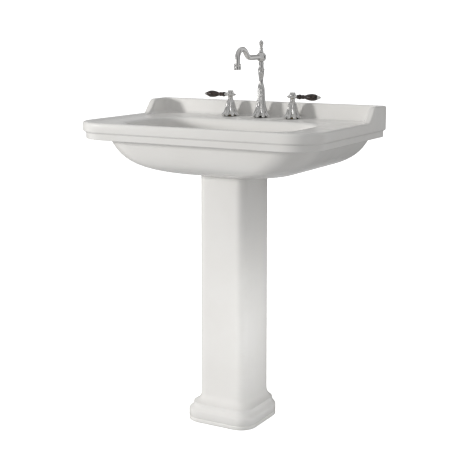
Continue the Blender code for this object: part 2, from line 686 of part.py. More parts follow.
def wall_flange():
    shape = [(0.0170, 0.0008), (0.0300, 0.0008), (0.0300, 0.0020), (0.0270, 0.0060), (0.0215, 0.0100),
             (0.0195, 0.0150), (0.0170, 0.0150)]
    place = facing(OUTLET_X, WALL_Y, ARM_Z, (0, -1, 0))
    return turned("wall_flange", shape, polished_chrome(), place, 16)


# ------------------------------------------------------------ spout
def spout_body():
    """Fixed column: petalled foot, waisted shaft, spigot for the hub and threaded shank."""
    foot = DECK_Z + 0.0018
    shape = [(0.0085, 0.800), (0.0125, 0.800), (0.0125, foot), (0.0225, foot),
             (0.0270, foot, 0.08), (0.0270, foot + 0.004, 0.08), (0.0240, foot + 0.010, 0.06),
             (0.0165, 0.8840, 0.04), (0.0130, 0.9050, 0.03), (0.0104, 0.9390), (0.0064, 0.9570),
             (0.0062, 0.9660), (0.0086, 0.9840), (0.0098, 0.9940), (0.0078, 0.9995),
             (0.0068, 1.0060), (0.0074, 1.0165), (0.0050, 1.0165),
             (0.0050, 1.0260), (0.0030, 1.0260), (0.0030, 0.9650), (0.0085, 0.8800)]
    return turned("spout_body", shape, polished_chrome(), at(0, TAP_Y), 24)


def deck_gasket(name, x):
    z = DECK_Z + GAP
    shape = [(0.0132, z), (0.0185, z), (0.0185, z + 0.0010), (0.0132, z + 0.0010)]
    return turned(name, shape, black_rubber(), at(x, TAP_Y), 12)


def deck_locknut(name, x):
    top = DECK_UNDER_Z - GAP
    shape = [(0.0132, top - 0.0105), (0.0165, top - 0.0105, "hex"), (0.0180, top - 0.0095, "hex"),
             (0.0180, top - 0.0030, "hex"), (0.0225, top - 0.0025), (0.0225, top), (0.0132, top)]
    return turned(name, shape, plain_brass(), at(x, TAP_Y), 12)


def neck_path():
    """Centre line of the swan neck: level, up at 45 degrees, over and down."""
    rise_radius, crown_radius = 0.030, 0.027
    drop_y = TAP_Y - 0.140
    crown_y, crown_z = drop_y + crown_radius, 1.055 - crown_radius
    start_z = crown_z + crown_radius * math.sin(math.radians(45))
    climb_y = crown_y + crown_radius * math.cos(math.radians(45))
    bend_end_z = HUB_Z + rise_radius * (1 - math.cos(math.radians(45)))
    bend_end_y = climb_y + (start_z - bend_end_z)
    bend_y = bend_end_y + rise_radius * math.sin(math.radians(45))
    path = [(0, TAP_Y - 0.004, HUB_Z), (0, TAP_Y - 0.030, HUB_Z)]
    path += arc(bend_y, HUB_Z + rise_radius, rise_radius, 270, 225, 2)
    path += arc(crown_y, crown_z, crown_radius, 45, 180, 6)
    path += [(0, drop_y, 1.0040)]
    return path


def swan_neck():
    """Hub ball with the swan neck, turning on the column's spigot."""
    mat = polished_chrome()
    ball = 0.0142
    shape = [(0, HUB_Z - 0.0140), (0.0060, HUB_Z - 0.0140)]
    for step in range(1, 6):
        angle = math.radians(-66 + 22 * step)
        shape.append((ball * math.cos(angle), HUB_Z + ball * math.sin(angle)))
    shape += [(0.0052, HUB_Z + 0.0140), (0, HUB_Z + 0.0140)]
    body = turned("swan_neck", shape, mat, at(0, TAP_Y), 18)
    weld(body, pipe("neck_form", neck_path(), 0.0070, 0.0052, mat, 14))
    bore = [(0, 1.00), (0.0054, 1.00), (0.0054, 1.0265), (0.0030, 1.0265), (0.0030, 1.06), (0, 1.06)]
    cut(body, turned("hub_bore", bore, mat, at(0, TAP_Y), 16))
    return body


def hub_nub():
    """Small pointed cap opposite the neck."""
    shape = [(0, 0.0138), (0.0045, 0.0138), (0.0052, 0.0155), (0.0040, 0.0170), (0.0030, 0.0190),
             (0.0014, 0.0215), (0, 0.0220)]
    shape = [(radius, height + 0.0012) for radius, height in shape]
    return turned("hub_nub", shape, polished_chrome(), facing(0, TAP_Y, HUB_Z, (0, 1, 0)), 14)


def neck_gland():
    low = HUB_Z + 0.0144
    shape = [(0.0028, low), (0.0062, low), (0.0062, low + 0.0015), (0.0048, low + 0.0028),
             (0.0046, low + 0.0095), (0.0052, low + 0.0105), (0.0046, low + 0.0122), (0.0028, low + 0.0122)]
    return turned("neck_gland", shape, polished_chrome(), at(0, TAP_Y), 18)


def nozzle_sleeve():
    shape = [(0.0074, 1.0160), (0.0084, 1.0160), (0.0098, 1.0145), (0.0098, 1.0120), (0.0090, 1.0105),
             (0.0098, 1.0090), (0.0103, 1.0030), (0.0098, 0.9995), (0.0080, 0.9990), (0.0080, 1.0025),
             (0.0074, 1.0030)]
    return turned("nozzle_sleeve", shape, polished_chrome(), at(0, TAP_Y - 0.140), 14)


def aerator():
    shape = [(0, 1.0002), (0.0074, 1.0002), (0.0074, 1.0022), (0.0046, 1.0022), (0.0046, 1.0034),
             (0, 1.0034)]
    return turned("aerator", shape, plain_brass(), at(0, TAP_Y - 0.140), 12)


def spout_tee():
    """Junction under the shank; the lift rod runs through its gland."""
    mat = plain_brass()
    shape = [(0.0032, 0.7800), (0.0110, 0.7800), (0.0130, 0.7820), (0.0130, 0.7996), (0.0070, 0.7996),
             (0.0070, 0.7860), (0.0032, 0.7860)]
    body = turned("spout_tee", shape, mat, at(0, TAP_Y), 16)
    for side in (-1, 1):
        stub = [(0, 0.0110), (0.0055, 0.0110), (0.0055, 0.0220), (0, 0.0220)]
        weld(body, turned("tee_stub_%d" % side, stub, mat, facing(0, TAP_Y, LINK_Z, (side, 0, 0)), 10))
    bore = [(0, -0.03), (0.0030, -0.03), (0.0030, 0.03), (0, 0.03)]
    cut(body, turned("tee_bore", bore, mat, facing(0, TAP_Y, LINK_Z, (1, 0, 0)), 10))
    return body


def link_pipe(side, label):
    """Copper-sized tube that carries water from a valve to the tee."""
    end = TAP_PITCH - 0.0180
    path = [(side * (0.0224 + (end - 0.0224) * i / 3), TAP_Y, LINK_Z) for i in range(4)]
    return pipe("link_pipe_" + label, path, 0.0048, 0.0034, zinc_steel(), 12)


# ------------------------------------------------------------- side taps
def tap_bell(label, x):
    foot = DECK_Z + 0.0018
    shape = [(0.0210, foot), (0.0270, foot, 0.08), (0.0270, foot + 0.004, 0.08),
             (0.0235, foot + 0.010, 0.06), (0.0160, 0.8860, 0.05), (0.0126, 0.8990, 0.04),
             (0.0078, 0.9050), (0.0070, 0.9110), (0.0082, 0.9155), (0.0042, 0.9155),
             (0.0042, 0.9020), (0.0100, 0.8970), (0.0150, 0.8750)]
    return turned("tap_bell_" + label, shape, polished_chrome(), at(x, TAP_Y), 24)


def valve_body(label, x, side):
    mat = plain_brass()
    shape = [(0.0060, 0.7650), (0.0100, 0.7650), (0.0100, 0.7790), (0.0125, 0.7800), (0.0125, 0.8640),
             (0.0105, 0.8660), (0.0092, 0.8700), (0.0092, 0.8920), (0.0038, 0.8920), (0.0038, 0.8700),
             (0.0060, 0.8660)]
    body = turned("valve_body_" + label, shape, mat, at(x, TAP_Y), 12)
    outlet = [(0, 0.0100), (0.0060, 0.0100), (0.0060, 0.0176), (0, 0.0176)]
    weld(body, turned("outlet_form_" + label, outlet, mat, facing(x, TAP_Y, LINK_Z, (-side, 0, 0)), 12))
    bore = [(0, 0.0050), (0.0034, 0.0050), (0.0034, 0.0250), (0, 0.0250)]
    cut(body, turned("outlet_bore_" + label, bore, mat, facing(x, TAP_Y, LINK_Z, (-side, 0, 0)), 12))
    return body


def valve_stem(label, x):
    """Quarter-turn stem that the lever hub is pushed on."""
    shape = [(0, 0.8710), (0.0034, 0.8710), (0.0034, 0.9148), (0.0030, 0.9152), (0.0030, 0.9240),
             (0, 0.9240)]
    return turned("valve_stem_" + label, shape, plain_brass(), at(x, TAP_Y), 12)


def lever_hub(label, x, side):
    """Gadrooned hub with the lever's chrome core reaching out to the end cap."""
    mat = polished_chrome()
    low = 0.9160
    shape = [(0, low), (0.0070, low), (0.0088, low + 0.0020), (0.0092, low + 0.0060),
             (0.0090, low + 0.0105), (0.0078, low + 0.0150), (0.0040, low + 0.0172), (0, low + 0.0178)]
    body = turned("lever_hub_" + label, shape, mat, at(x, TAP_Y), 16)
    arm = [(0, 0.0040), (0.0046, 0.0040), (0.0040, 0.0110), (0.0060, 0.0150),
           (0.0060, 0.0165), (0.0026, 0.0170), (0.0026, 0.0820), (0, 0.0820)]
    weld(body, turned("lever_core_" + label, arm, mat, facing(x, TAP_Y, LEVER_Z, (side, 0, 0)), 12))
    nub = [(0, 0.0070), (0.0036, 0.0070), (0.0036, 0.0115), (0.0010, 0.0185), (0, 0.0190)]
    weld(body, turned("lever_nub_" + label, nub, mat, facing(x, TAP_Y, LEVER_Z, (-side, 0, 0)), 12))
    socket = [(0, 0.9100), (0.0034, 0.9100), (0.0034, 0.9245), (0, 0.9245)]
    cut(body, turned("hub_socket_" + label, socket, mat, at(x, TAP_Y), 12))
    return body


def lever_grip(label, x, side):
    """Black bead, waist and bulb threaded on the core."""
    shape = [(0.0030, 0.0175), (0.0060, 0.0175), (0.0072, 0.0225), (0.0052, 0.0290),
             (0.0064, 0.0335), (0.0054, 0.0390), (0.0084, 0.0490), (0.0098, 0.0600),
             (0.0088, 0.0700), (0.0058, 0.0785), (0.0030, 0.0785)]
    return turned("lever_grip_" + label, shape, black_glaze(), facing(x, TAP_Y, LEVER_Z, (side, 0, 0)))


def lever_tip(label, x, side):
    """Chrome end cap screwed on the core."""
    shape = [(0, 0.0826), (0.0030, 0.0826), (0.0030, 0.0789), (0.0056, 0.0789), (0.0058, 0.0802),
             (0.0040, 0.0845), (0.0028, 0.0875), (0, 0.0892)]
    place = facing(x, TAP_Y, LEVER_Z, (side, 0, 0))
    return turned("lever_tip_" + label, shape, polished_chrome(), place, 12)


def side_tap(side, label):
    x = side * TAP_PITCH
    tap_bell(label, x)
    deck_gasket("tap_gasket_" + label, x)
    deck_locknut("tap_locknut_" + label, x)
    valve_body(label, x, side)
    valve_stem(label, x)
    lever_hub(label, x, side)
    lever_grip(label, x, side)
    lever_tip(label, x, side)
    link_pipe(side, label)


# -------------------------------------------------------------------- build
def main():
    for obj in list(bpy.data.objects):
        bpy.data.objects.remove(obj)
    basin()
    pedestal()
    seat_gasket()
    for side, label in ((-1, "left"), (1, "right")):
        wall_fixing(side, label)
        floor_fixing(side, label)
        side_tap(side, label)
    drain_flange()
    drain_body()
    drain_gasket()
    drain_locknut()
    stopper()
    stopper_ring()
    pivot_rod()
    pivot_nut()
    clevis_strap()
    clevis_screw()
    lift_rod()
    lift_knob()
    overflow_ring()
    tailpiece()
    slip_nut("trap_inlet_nut", 0, DRAIN_Y, TRAP_MOUTH_Z)
    trap_bend()
    slip_nut("trap_outlet_nut", OUTLET_X, OUTLET_Y, TRAP_EXIT_Z)
    trap_arm()
    wall_flange()
    spout_body()
    deck_gasket("spout_gasket", 0)
    deck_locknut("spout_locknut", 0)
    swan_neck()
    hub_nub()
    neck_gland()
    nozzle_sleeve()
    aerator()
    spout_tee()


main()
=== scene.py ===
import json
import math

import bmesh
import bpy
from mathutils import Matrix, Vector

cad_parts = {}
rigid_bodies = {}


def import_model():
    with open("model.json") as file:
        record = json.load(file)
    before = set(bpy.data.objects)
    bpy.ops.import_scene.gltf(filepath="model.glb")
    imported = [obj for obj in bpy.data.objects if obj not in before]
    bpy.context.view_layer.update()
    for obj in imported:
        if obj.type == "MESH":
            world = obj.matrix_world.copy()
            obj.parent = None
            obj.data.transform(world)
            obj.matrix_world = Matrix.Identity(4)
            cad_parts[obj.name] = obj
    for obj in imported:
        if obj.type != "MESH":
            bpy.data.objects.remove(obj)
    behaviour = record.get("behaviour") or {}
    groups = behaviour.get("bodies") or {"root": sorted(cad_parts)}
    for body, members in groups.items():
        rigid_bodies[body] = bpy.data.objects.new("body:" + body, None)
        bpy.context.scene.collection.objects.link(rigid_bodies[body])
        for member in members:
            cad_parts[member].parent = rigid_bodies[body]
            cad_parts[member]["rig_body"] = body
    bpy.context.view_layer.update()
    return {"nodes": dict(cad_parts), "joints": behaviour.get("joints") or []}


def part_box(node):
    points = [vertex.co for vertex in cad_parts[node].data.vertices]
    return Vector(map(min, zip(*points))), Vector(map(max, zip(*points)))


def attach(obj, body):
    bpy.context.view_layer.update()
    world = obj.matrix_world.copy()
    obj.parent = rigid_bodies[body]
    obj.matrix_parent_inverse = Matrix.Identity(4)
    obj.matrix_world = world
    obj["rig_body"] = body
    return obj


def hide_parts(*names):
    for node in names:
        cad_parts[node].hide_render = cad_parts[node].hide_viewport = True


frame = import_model()

# ------------------------------------------------ places read from the frame
LOW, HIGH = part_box("basin")
HALF = HIGH.x                      # half the basin's width
FRONT_Y, WALL_Y = LOW.y, HIGH.y
SEAT_Z, SPLASH_Z = LOW.z, HIGH.z
JOINTS = {joint["name"]: Vector(joint["pos_m"]) for joint in frame["joints"]}
TAP_Y, HUB_Z = JOINTS["spout_swivel"].y, JOINTS["spout_swivel"].z
TAP_X, LEVER_Z = JOINTS["right_lever_turn"].x, JOINTS["right_lever_turn"].z
PIVOT_Y, PIVOT_Z = JOINTS["pivot_rod_tilt"].y, JOINTS["pivot_rod_tilt"].z
DRAIN_Y = JOINTS["stopper_drop"].y
COLUMN_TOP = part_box("pedestal")[1].z


def middle(node):
    """Centre of a CAD node's box."""
    low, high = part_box(node)
    return (low + high) / 2


BOLT = middle("wall_nut_right")
FLOOR_BOLT_X, COLUMN_Y = middle("floor_nut_right").xy
LINK_Z = middle("link_pipe_right").z
OUTLET_X, OUTLET_Y = middle("trap_outlet_nut").xy
ARM_Z = middle("wall_flange").z

# ------------------------------------------------ sizes that the boxes don't give
RIM_Z = 0.862            # top of the raised rim
DECK_Z = 0.858           # table inside the rim
DECK_UNDER_Z = 0.845
UNDER_RIM_Z = 0.8145     # flat underside of the moulded rim
FLOOR_Z = 0.731          # bottom of the bowl
WING_Y = WALL_Y - 0.075  # the upstand's ends are level from here back
WING_FRONT_Y = WALL_Y - 0.128
WING, WING_FILLET = 0.021, 0.022
RIM_WIDTH = 0.036
SIDE_COVE, BACK_COVE = 0.017, 0.0078  # hollow where the table runs up into the upstand
UPSTAND = 0.02           # thickness of the upstand along the wall
COLUMN_HALF, COLUMN_DEPTH, COLUMN_CORNER = 0.0755, 0.0815, 0.03
COLUMN_FOOT_Z, COLUMN_TAPER, BACK_SHARE, SHELL = 0.08, 0.0015, 0.35, 0.011
OPENING_HALF, OPENING_BACK = 0.057, 0.04
PIVOT_TILT, PIVOT_ARM, PIVOT_TIP = 0.15, 0.1, 0.028
STOPPER_LIFT = 2 * PIVOT_TILT * PIVOT_TIP
TRAP_RADIUS, TRAP_Z, TRAP_MOUTH_Z, TRAP_EXIT_Z = 0.045, 0.43, 0.48, 0.452
WASTE_TUBE, TRAP_TUBE = 0.0165, 0.0186
LOBES = 8                # flutes round each tap and the spout
PANEL_CONTRAST = 0.75    # of the studio panels that the chrome reflects
CAMERA_PLACE, CAMERA_LENS = (1.4579, -2.5544, 1.1198), 81.55
CAMERA_ANGLES = (29.408, 90 - 11.131, 0.0466)  # turn, tilt from straight down and roll, in degrees


# ------------------------------------------------------------------ materials
def set_inputs(node, **values):
    """Values of a node's inputs; an underscore in a name stands for a space."""
    for name, value in values.items():
        node.inputs[name.replace("_", " ")].default_value = value
    return node


def new_material(name, color, roughness, metallic=0.0):
    mat = bpy.data.materials.new(name)
    mat.use_nodes = True
    shader = mat.node_tree.nodes["Principled BSDF"]
    set_inputs(shader, Base_Color=(*color, 1.0), Roughness=roughness, Metallic=metallic)
    mat.diffuse_color = (*color, 1.0)
    return mat, shader


def add_noise(mat, scale, detail=2.0, stretch=(1.0, 1.0, 1.0)):
    """Noise in the piece's own coordinates, per metre."""
    nodes, links = mat.node_tree.nodes, mat.node_tree.links
    place = nodes.new("ShaderNodeTexCoord")
    mapping = set_inputs(nodes.new("ShaderNodeMapping"), Scale=stretch)
    noise = set_inputs(nodes.new("ShaderNodeTexNoise"), Scale=scale, Detail=detail)
    links.new(place.outputs["Object"], mapping.inputs["Vector"])
    links.new(mapping.outputs["Vector"], noise.inputs["Vector"])
    return noise


def vary_color(mat, shader, noise, low, high, start=0.35, end=0.65):
    ramp = mat.node_tree.nodes.new("ShaderNodeValToRGB")
    ramp.color_ramp.elements[0].position = start
    ramp.color_ramp.elements[1].position = end
    ramp.color_ramp.elements[0].color = (*low, 1.0)
    ramp.color_ramp.elements[1].color = (*high, 1.0)
    mat.node_tree.links.new(noise.outputs["Fac"], ramp.inputs["Fac"])
    mat.node_tree.links.new(ramp.outputs["Color"], shader.inputs["Base Color"])


def vary_roughness(mat, shader, noise, low, high):
    spread = mat.node_tree.nodes.new("ShaderNodeMapRange")
    set_inputs(spread, From_Min=0.3, From_Max=0.7, To_Min=low, To_Max=high)
    mat.node_tree.links.new(noise.outputs["Fac"], spread.inputs["Value"])
    mat.node_tree.links.new(spread.outputs["Result"], shader.inputs["Roughness"])


def add_bumps(mat, shader, *layers):
    """Stack bump maps: each layer is (noise, strength, distance in metres)."""
    last = None
    for noise, strength, distance in layers:
        bump = set_inputs(mat.node_tree.nodes.new("ShaderNodeBump"), Strength=strength, Distance=distance)
        mat.node_tree.links.new(noise.outputs["Fac"], bump.inputs["Height"])
        if last is not None:
            mat.node_tree.links.new(last.outputs["Normal"], bump.inputs["Normal"])
        last = bump
    mat.node_tree.links.new(last.outputs["Normal"], shader.inputs["Normal"])


def surface(name, color, roughness, metallic, tint, sheen, *bumps):
    """A material that varies: tint is (noise, from, to), sheen is (noise, low, high)."""
    mat, shader = new_material(name, color, roughness, metallic)
    vary_color(mat, shader, add_noise(mat, *tint[0]), *tint[1:])
    vary_roughness(mat, shader, add_noise(mat, *sheen[0]), *sheen[1:])
    add_bumps(mat, shader, *[(add_noise(mat, *noise), strength, distance)
        for noise, strength, distance in bumps])
    return mat, shader


# white glaze: faint cloudiness, a slow ripple and a fine orange peel
CHINA, glaze = surface("vitreous_china", (0.87, 0.863, 0.848), 0.2, 0.0,
    ((9.0, 3.0), (0.868, 0.856, 0.832), (0.888, 0.879, 0.858)), ((38.0, 4.0), 0.17, 0.24),
    ((26.0, 1.0), 0.1, 0.001), ((420.0, 2.0), 0.05, 0.0002))
set_inputs(glaze, Specular_IOR_Level=0.4)
# bright plating with fine polishing marks and slight smears
CHROME = surface("polished_chrome", (0.8, 0.795, 0.785), 0.07, 1.0, ((60.0, 2.0), (0.76, 0.752, 0.74),
    (0.83, 0.825, 0.815)), ((140.0, 5.0), 0.04, 0.11), ((900.0, 2.0, (1.0, 1.0, 0.12)), 0.035, 0.0001))[0]
# near-black glazed grips with a brown cast that clouds from place to place
GLAZE, glaze = surface("black_glaze", (0.014, 0.009, 0.007), 0.09, 0.0, ((95.0, 4.0), (0.006, 0.004, 0.0035),
    (0.038, 0.02, 0.014)), ((210.0, 3.0), 0.06, 0.14), ((300.0, 2.0), 0.05, 0.0002))
set_inputs(glaze, Coat_Weight=0.6, Coat_Roughness=0.04)
# turned brass, dulled unevenly, with lathe marks round the axis
BRASS = surface("plain_brass", (0.7, 0.52, 0.26), 0.3, 1.0, ((70.0, 5.0), (0.5, 0.36, 0.17),
    (0.76, 0.58, 0.3)), ((160.0, 4.0), 0.22, 0.42), ((1500.0, 1.0, (0.03, 0.03, 1.0)), 0.15, 0.0001))[0]
# moulded rubber with a fine matt grain and a grey bloom
RUBBER = surface("black_rubber", (0.03, 0.03, 0.03), 0.7, 0.0, ((120.0, 5.0), (0.018, 0.018, 0.018),
    (0.055, 0.054, 0.052)), ((260.0, 3.0), 0.6, 0.85), ((1400.0, 3.0), 0.3, 0.0002))[0]
# zinc-plated steel with a soft mottle and drawn-wire grain
ZINC = surface("zinc_steel", (0.6, 0.61, 0.62), 0.35, 1.0, ((190.0, 4.0), (0.47, 0.48, 0.5),
    (0.68, 0.68, 0.68)), ((240.0, 3.0), 0.28, 0.46), ((1100.0, 2.0, (1.0, 1.0, 0.2)), 0.12, 0.0001))[0]


# ------------------------------------------------------------- profile helpers
def soften(points, radius=0.0006, steps=2, closed=False):
    """Round the corners of a profile with short curves."""
    made = []
    count = len(points)
    for i, corner in enumerate(points):
        if not closed and i in (0, count - 1):
            made.append(tuple(corner))
            continue
        before, after = Vector(points[i - 1]), Vector(points[(i + 1) % count])
        here = Vector(corner)
        back, ahead = before - here, after - here
        if back.length < 1e-7 or ahead.length < 1e-7 or back.angle(ahead) > 2.9:
            made.append(tuple(corner))
            continue
        start = here + back.normalized() * min(radius, back.length * 0.4)
        end = here + ahead.normalized() * min(radius, ahead.length * 0.4)
        for step in range(steps + 1):
            t = step / steps
            made.append(tuple(start * (1 - t) ** 2 + here * 2 * t * (1 - t) + end * t ** 2))
    return made


def spline(points, steps=5):
    """A smooth curve through points of any dimension."""
    ends = [points[0], *points, points[-1]]
    made = []
    for i in range(1, len(ends) - 2):
        p0, p1, p2, p3 = (Vector(p) for p in ends[i - 1:i + 3])
        for step in range(steps):
            t = step / steps
            made.append(tuple(0.5 * (2 * p1 + (p2 - p0) * t + (2 * p0 - 5 * p1 + 4 * p2 - p3) * t ** 2
                                     + (3 * p1 - p0 - 3 * p2 + p3) * t ** 3)))
    made.append(tuple(points[-1]))
    return made


def smoothstep(value, low, high):
    t = min(1.0, max(0.0, (value - low) / (high - low)))
    return t * t * (3 - 2 * t)


def table(value, rows):
    """Read a number off a short table of (at, number) rows."""
    if value <= rows[0][0]:
        return rows[0][1]
    for (a, x), (b, y) in zip(rows, rows[1:]):
        if value <= b:
            return x + (y - x) * (value - a) / (b - a)
    return rows[-1][1]


# --------------------------------------------------------------- mesh helpers
def bridge(mesh, low, high):
    count = max(len(low), len(high))
    for i in range(count):
        j = (i + 1) % count
        if len(low) == 1:
            mesh.faces.new((low[0], high[j], high[i]))
        elif len(high) == 1:
            mesh.faces.new((low[i], low[j], high[0]))
        else:
            mesh.faces.new((low[i], low[j], high[j], high[i]))


def stack(mesh, rings, closed=False, place=None):
    """Bridge a stack of point loops into a closed shell."""
    place = place or Matrix.Identity(4)
    loops = [[mesh.verts.new(place @ Vector(point)) for point in ring] for ring in rings]
    for low, high in zip(loops, loops[1:]):
        bridge(mesh, low, high)
    if closed:
        bridge(mesh, loops[-1], loops[0])
    else:
        for loop in (loops[0], loops[-1]):
            if len(loop) > 2:
                mesh.faces.new(loop)


def lathe(mesh, profile, place=None, segments=48, form=None):
    """Turn a profile of (radius, height); form(angle, radius, height) may reshape it."""
    rings = []
    for radius, height in profile:
        if radius <= 1e-6:
            rings.append([(0.0, 0.0, height)])
            continue
        ring = []
        for i in range(segments):
            angle = 2 * math.pi * i / segments
            reach, level = form(angle, radius, height) if form else (radius, height)
            ring.append((reach * math.cos(angle), reach * math.sin(angle), level))
        rings.append(ring)
    stack(mesh, rings, closed=profile[0][0] > 1e-6, place=place)


def path_rings(path, radius, segments):
    """Loops of points round a path."""
    points = [Vector(point) for point in path]
    side = Vector((1.0, 0.0, 0.0))
    rings = []
    for i, point in enumerate(points):
        along = (points[min(i + 1, len(points) - 1)] - points[max(i - 1, 0)]).normalized()
        if abs(along.dot(side)) > 0.9:
            side = Vector((0.0, 1.0, 0.0))
        across = (side - along * side.dot(along)).normalized()
        upright = along.cross(across)
        rings.append([point + (across * math.cos(2 * math.pi * k / segments)
                               + upright * math.sin(2 * math.pi * k / segments)) * radius
                      for k in range(segments)])
    return rings


def pipe(mesh, path, outer, inner, segments=32):
    """A hollow tube with flat ring ends."""
    rings = path_rings(path, outer, segments) + path_rings(path, inner, segments)[::-1]
    stack(mesh, rings, closed=True)


def arc(centre_y, centre_z, radius, start, end, steps):
    points = []
    for i in range(steps + 1):
        angle = math.radians(start + (end - start) * i / steps)
        points.append((0.0, centre_y + radius * math.cos(angle), centre_z + radius * math.sin(angle)))
    return points


def at(x, y, z=0.0):
    return Matrix.Translation((x, y, z))


def facing(x, y, z, direction):
    turn = Vector(direction).to_track_quat("Z", "Y").to_matrix().to_4x4()
    return Matrix.Translation((x, y, z)) @ turn


def hexagon(angle, radius, height):
    return radius / math.cos((angle + math.pi / 6) % (math.pi / 3) - math.pi / 6), height


def thread(pitch, depth, low, high):
    """A helical thread between two heights."""
    def form(angle, radius, height):
        if height < low or height > high:
            return radius, height
        turn = (height / pitch + angle / (2 * math.pi)) % 1.0
        return radius - depth * abs(2 * turn - 1), height
    return form


def threaded(radius, low, high, pitch):
    """Profile rows close enough together to carry a thread."""
    count = max(2, int((high - low) / pitch * 6))
    return [(radius, low + (high - low) * i / count) for i in range(count + 1)]


def make(name, mesh, mat, smooth_angle=38.0):
    """Finish a piece: it stands for its CAD node and rides on that node's body."""
    bmesh.ops.recalc_face_normals(mesh, faces=mesh.faces)
    data = bpy.data.meshes.new(name + "_shape")
    mesh.to_mesh(data)
    mesh.free()
    data.shade_smooth()
    data.set_sharp_from_angle(angle=math.radians(smooth_angle))
    data.materials.append(mat)
    obj = bpy.data.objects.new(name + "_shape", data)
    bpy.context.scene.collection.objects.link(obj)
    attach(obj, frame["nodes"][name]["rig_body"])
    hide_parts(name)
    return obj


def carve(obj, *meshes):
    """Cut closed shells out of a piece, and keep only the result."""
    for index, mesh in enumerate(meshes):
        bmesh.ops.recalc_face_normals(mesh, faces=mesh.faces)
        data = bpy.data.meshes.new("tool")
        mesh.to_mesh(data)
        mesh.free()
        tool = bpy.data.objects.new("tool_%d" % index, data)
        bpy.context.scene.collection.objects.link(tool)
        modifier = obj.modifiers.new("cut_%d" % index, "BOOLEAN")
        modifier.operation = "DIFFERENCE"
        modifier.solver = "EXACT"
        modifier.object = tool
    bpy.context.view_layer.update()
    graph = bpy.context.evaluated_depsgraph_get()
    result = bpy.data.meshes.new_from_object(obj.evaluated_get(graph))
    tools = [modifier.object for modifier in obj.modifiers]
    obj.modifiers.clear()
    old, obj.data = obj.data, result
    bpy.data.meshes.remove(old)
    for tool in tools:
        bpy.data.objects.remove(tool)


def raised(low, *points):
    """A profile whose heights are measured from a level."""
    return [(radius, low + height) for radius, height in points]


def rounded(points, radius):
    """A closed profile with softened corners."""
    return soften(points, radius, 2, True)


def turned(name, mat, profile, place, segments=48, form=None, smooth_angle=38.0):
    """A piece that is one turned profile."""
    mesh = bmesh.new()
    lathe(mesh, profile, place, segments, form)
    return make(name, mesh, mat, smooth_angle)


def cylinder(radius, low, high, place, segments=32):
    mesh = bmesh.new()
    lathe(mesh, [(0, low), (radius, low), (radius, high), (0, high)], place, segments)
    return mesh


def add_block(mesh, low, high):
    ring = [(low[0], low[1]), (high[0], low[1]), (high[0], high[1]), (low[0], high[1])]
    stack(mesh, [[(x, y, z) for x, y in ring] for z in (low[2], high[2])])


def block(low, high):
    mesh = bmesh.new()
    add_block(mesh, low, high)
    return mesh


# ---------------------------------------------------------------------- basin
BACK_STEPS, FRONT_STEPS = 12, 18
SIDE_Y = [0.65 * i / 12 for i in range(2, 12)] + [0.65 + 0.21 * i / 24 for i in range(24)]
SIDE_Y += [0.86, 0.895, 0.93, 0.965]
ACROSS = [i / 14 for i in range(1, 14)]


def plan(half, front, back, front_radius, back_radius, z=0.0, side_rows=None):
    """A rounded rectangle in plan, always with the same number of points."""
    def corner(side, y, radius, start, steps):
        toward = -1 if y == back else 1
        return [(side * (half - radius) + radius * math.cos(math.radians(start + 90 * i / steps)),
            y + toward * radius + radius * math.sin(math.radians(start + 90 * i / steps)), z)
            for i in range(steps + 1)]
    low, high = front + front_radius, back - back_radius
    rows = side_rows or [low + (high - low) * t for t in SIDE_Y]
    loop = corner(1, back, back_radius, 0, BACK_STEPS)
    loop += [((half - back_radius) * (1 - 2 * t), back, z) for t in ACROSS]
    loop += corner(-1, back, back_radius, 90, BACK_STEPS)
    loop += [(-half, y, z) for y in reversed(rows)]
    loop += corner(-1, front, front_radius, 180, FRONT_STEPS)
    loop += [((half - front_radius) * (2 * t - 1), front, z) for t in ACROSS]
    loop += corner(1, front, front_radius, 270, FRONT_STEPS)
    loop += [(half, y, z) for y in rows]
    return loop


def rim_plan(inset, z=0.0, corner=0.093):
    return plan(HALF - inset, FRONT_Y + inset, WALL_Y, corner - inset / 2, 0.008, z)


def hull_plan(z, outset=0.0):
    drop = (UNDER_RIM_Z - z) / (UNDER_RIM_Z - SEAT_Z)
    half = HALF - 0.045 - 0.058 * drop - 0.087 * drop ** 3 - 0.035 * drop ** 8
    front = FRONT_Y + 0.058 + 0.03 * drop ** 2 + 0.09 * drop ** 8
    return half + outset, front - outset


def hull_ring(z, outset=0.0):
    half, front = hull_plan(z, outset)
    return plan(half, front, WALL_Y - 0.001, 0.1 + outset, 0.008, z)


def bowl_edges(z):
    drop = (DECK_Z - 0.009 - z) / (DECK_Z - 0.009 - FLOOR_Z)
    curl = 1 - math.sqrt(max(0.0, 1 - drop ** 2.5))
    half = 0.25 - 0.03 * drop - 0.1 * curl
    front = FRONT_Y + 0.058 + 0.05 * drop + 0.072 * curl
    back = WALL_Y - 0.16 - 0.01 * drop - 0.02 * curl
    return half, front, back


def lip_ring(inset, z):
    """The rounded edge of the bowl, which is twice as wide at its two ends."""
    return plan(0.268 - 2 * inset, FRONT_Y + 0.048 + inset, WALL_Y - 0.15 - inset, 0.075, 0.075, z)


def round_ring(radius, z):
    """A circle round the waste with one point for each point of a plan loop."""
    ring = []
    for x, y, _ in plan(0.135, DRAIN_Y - 0.056, DRAIN_Y + 0.056, 0.05, 0.05):
        angle = math.atan2(y - DRAIN_Y, x)
        ring.append((radius * math.cos(angle), DRAIN_Y + radius * math.sin(angle), z))
    return ring


def wing_top(y):
    """Height of the upstand's ends: level by the wall, then an ogee down to the rim."""
    reach = min(1.0, max(0.0, (WING_Y - y) / (WING_Y - WING_FRONT_Y)))
    ogee = SPLASH_Z - (SPLASH_Z - RIM_Z + 0.002) * (0.5 - 0.5 * math.cos(math.pi * reach))
    return max(ogee, RIM_Z)


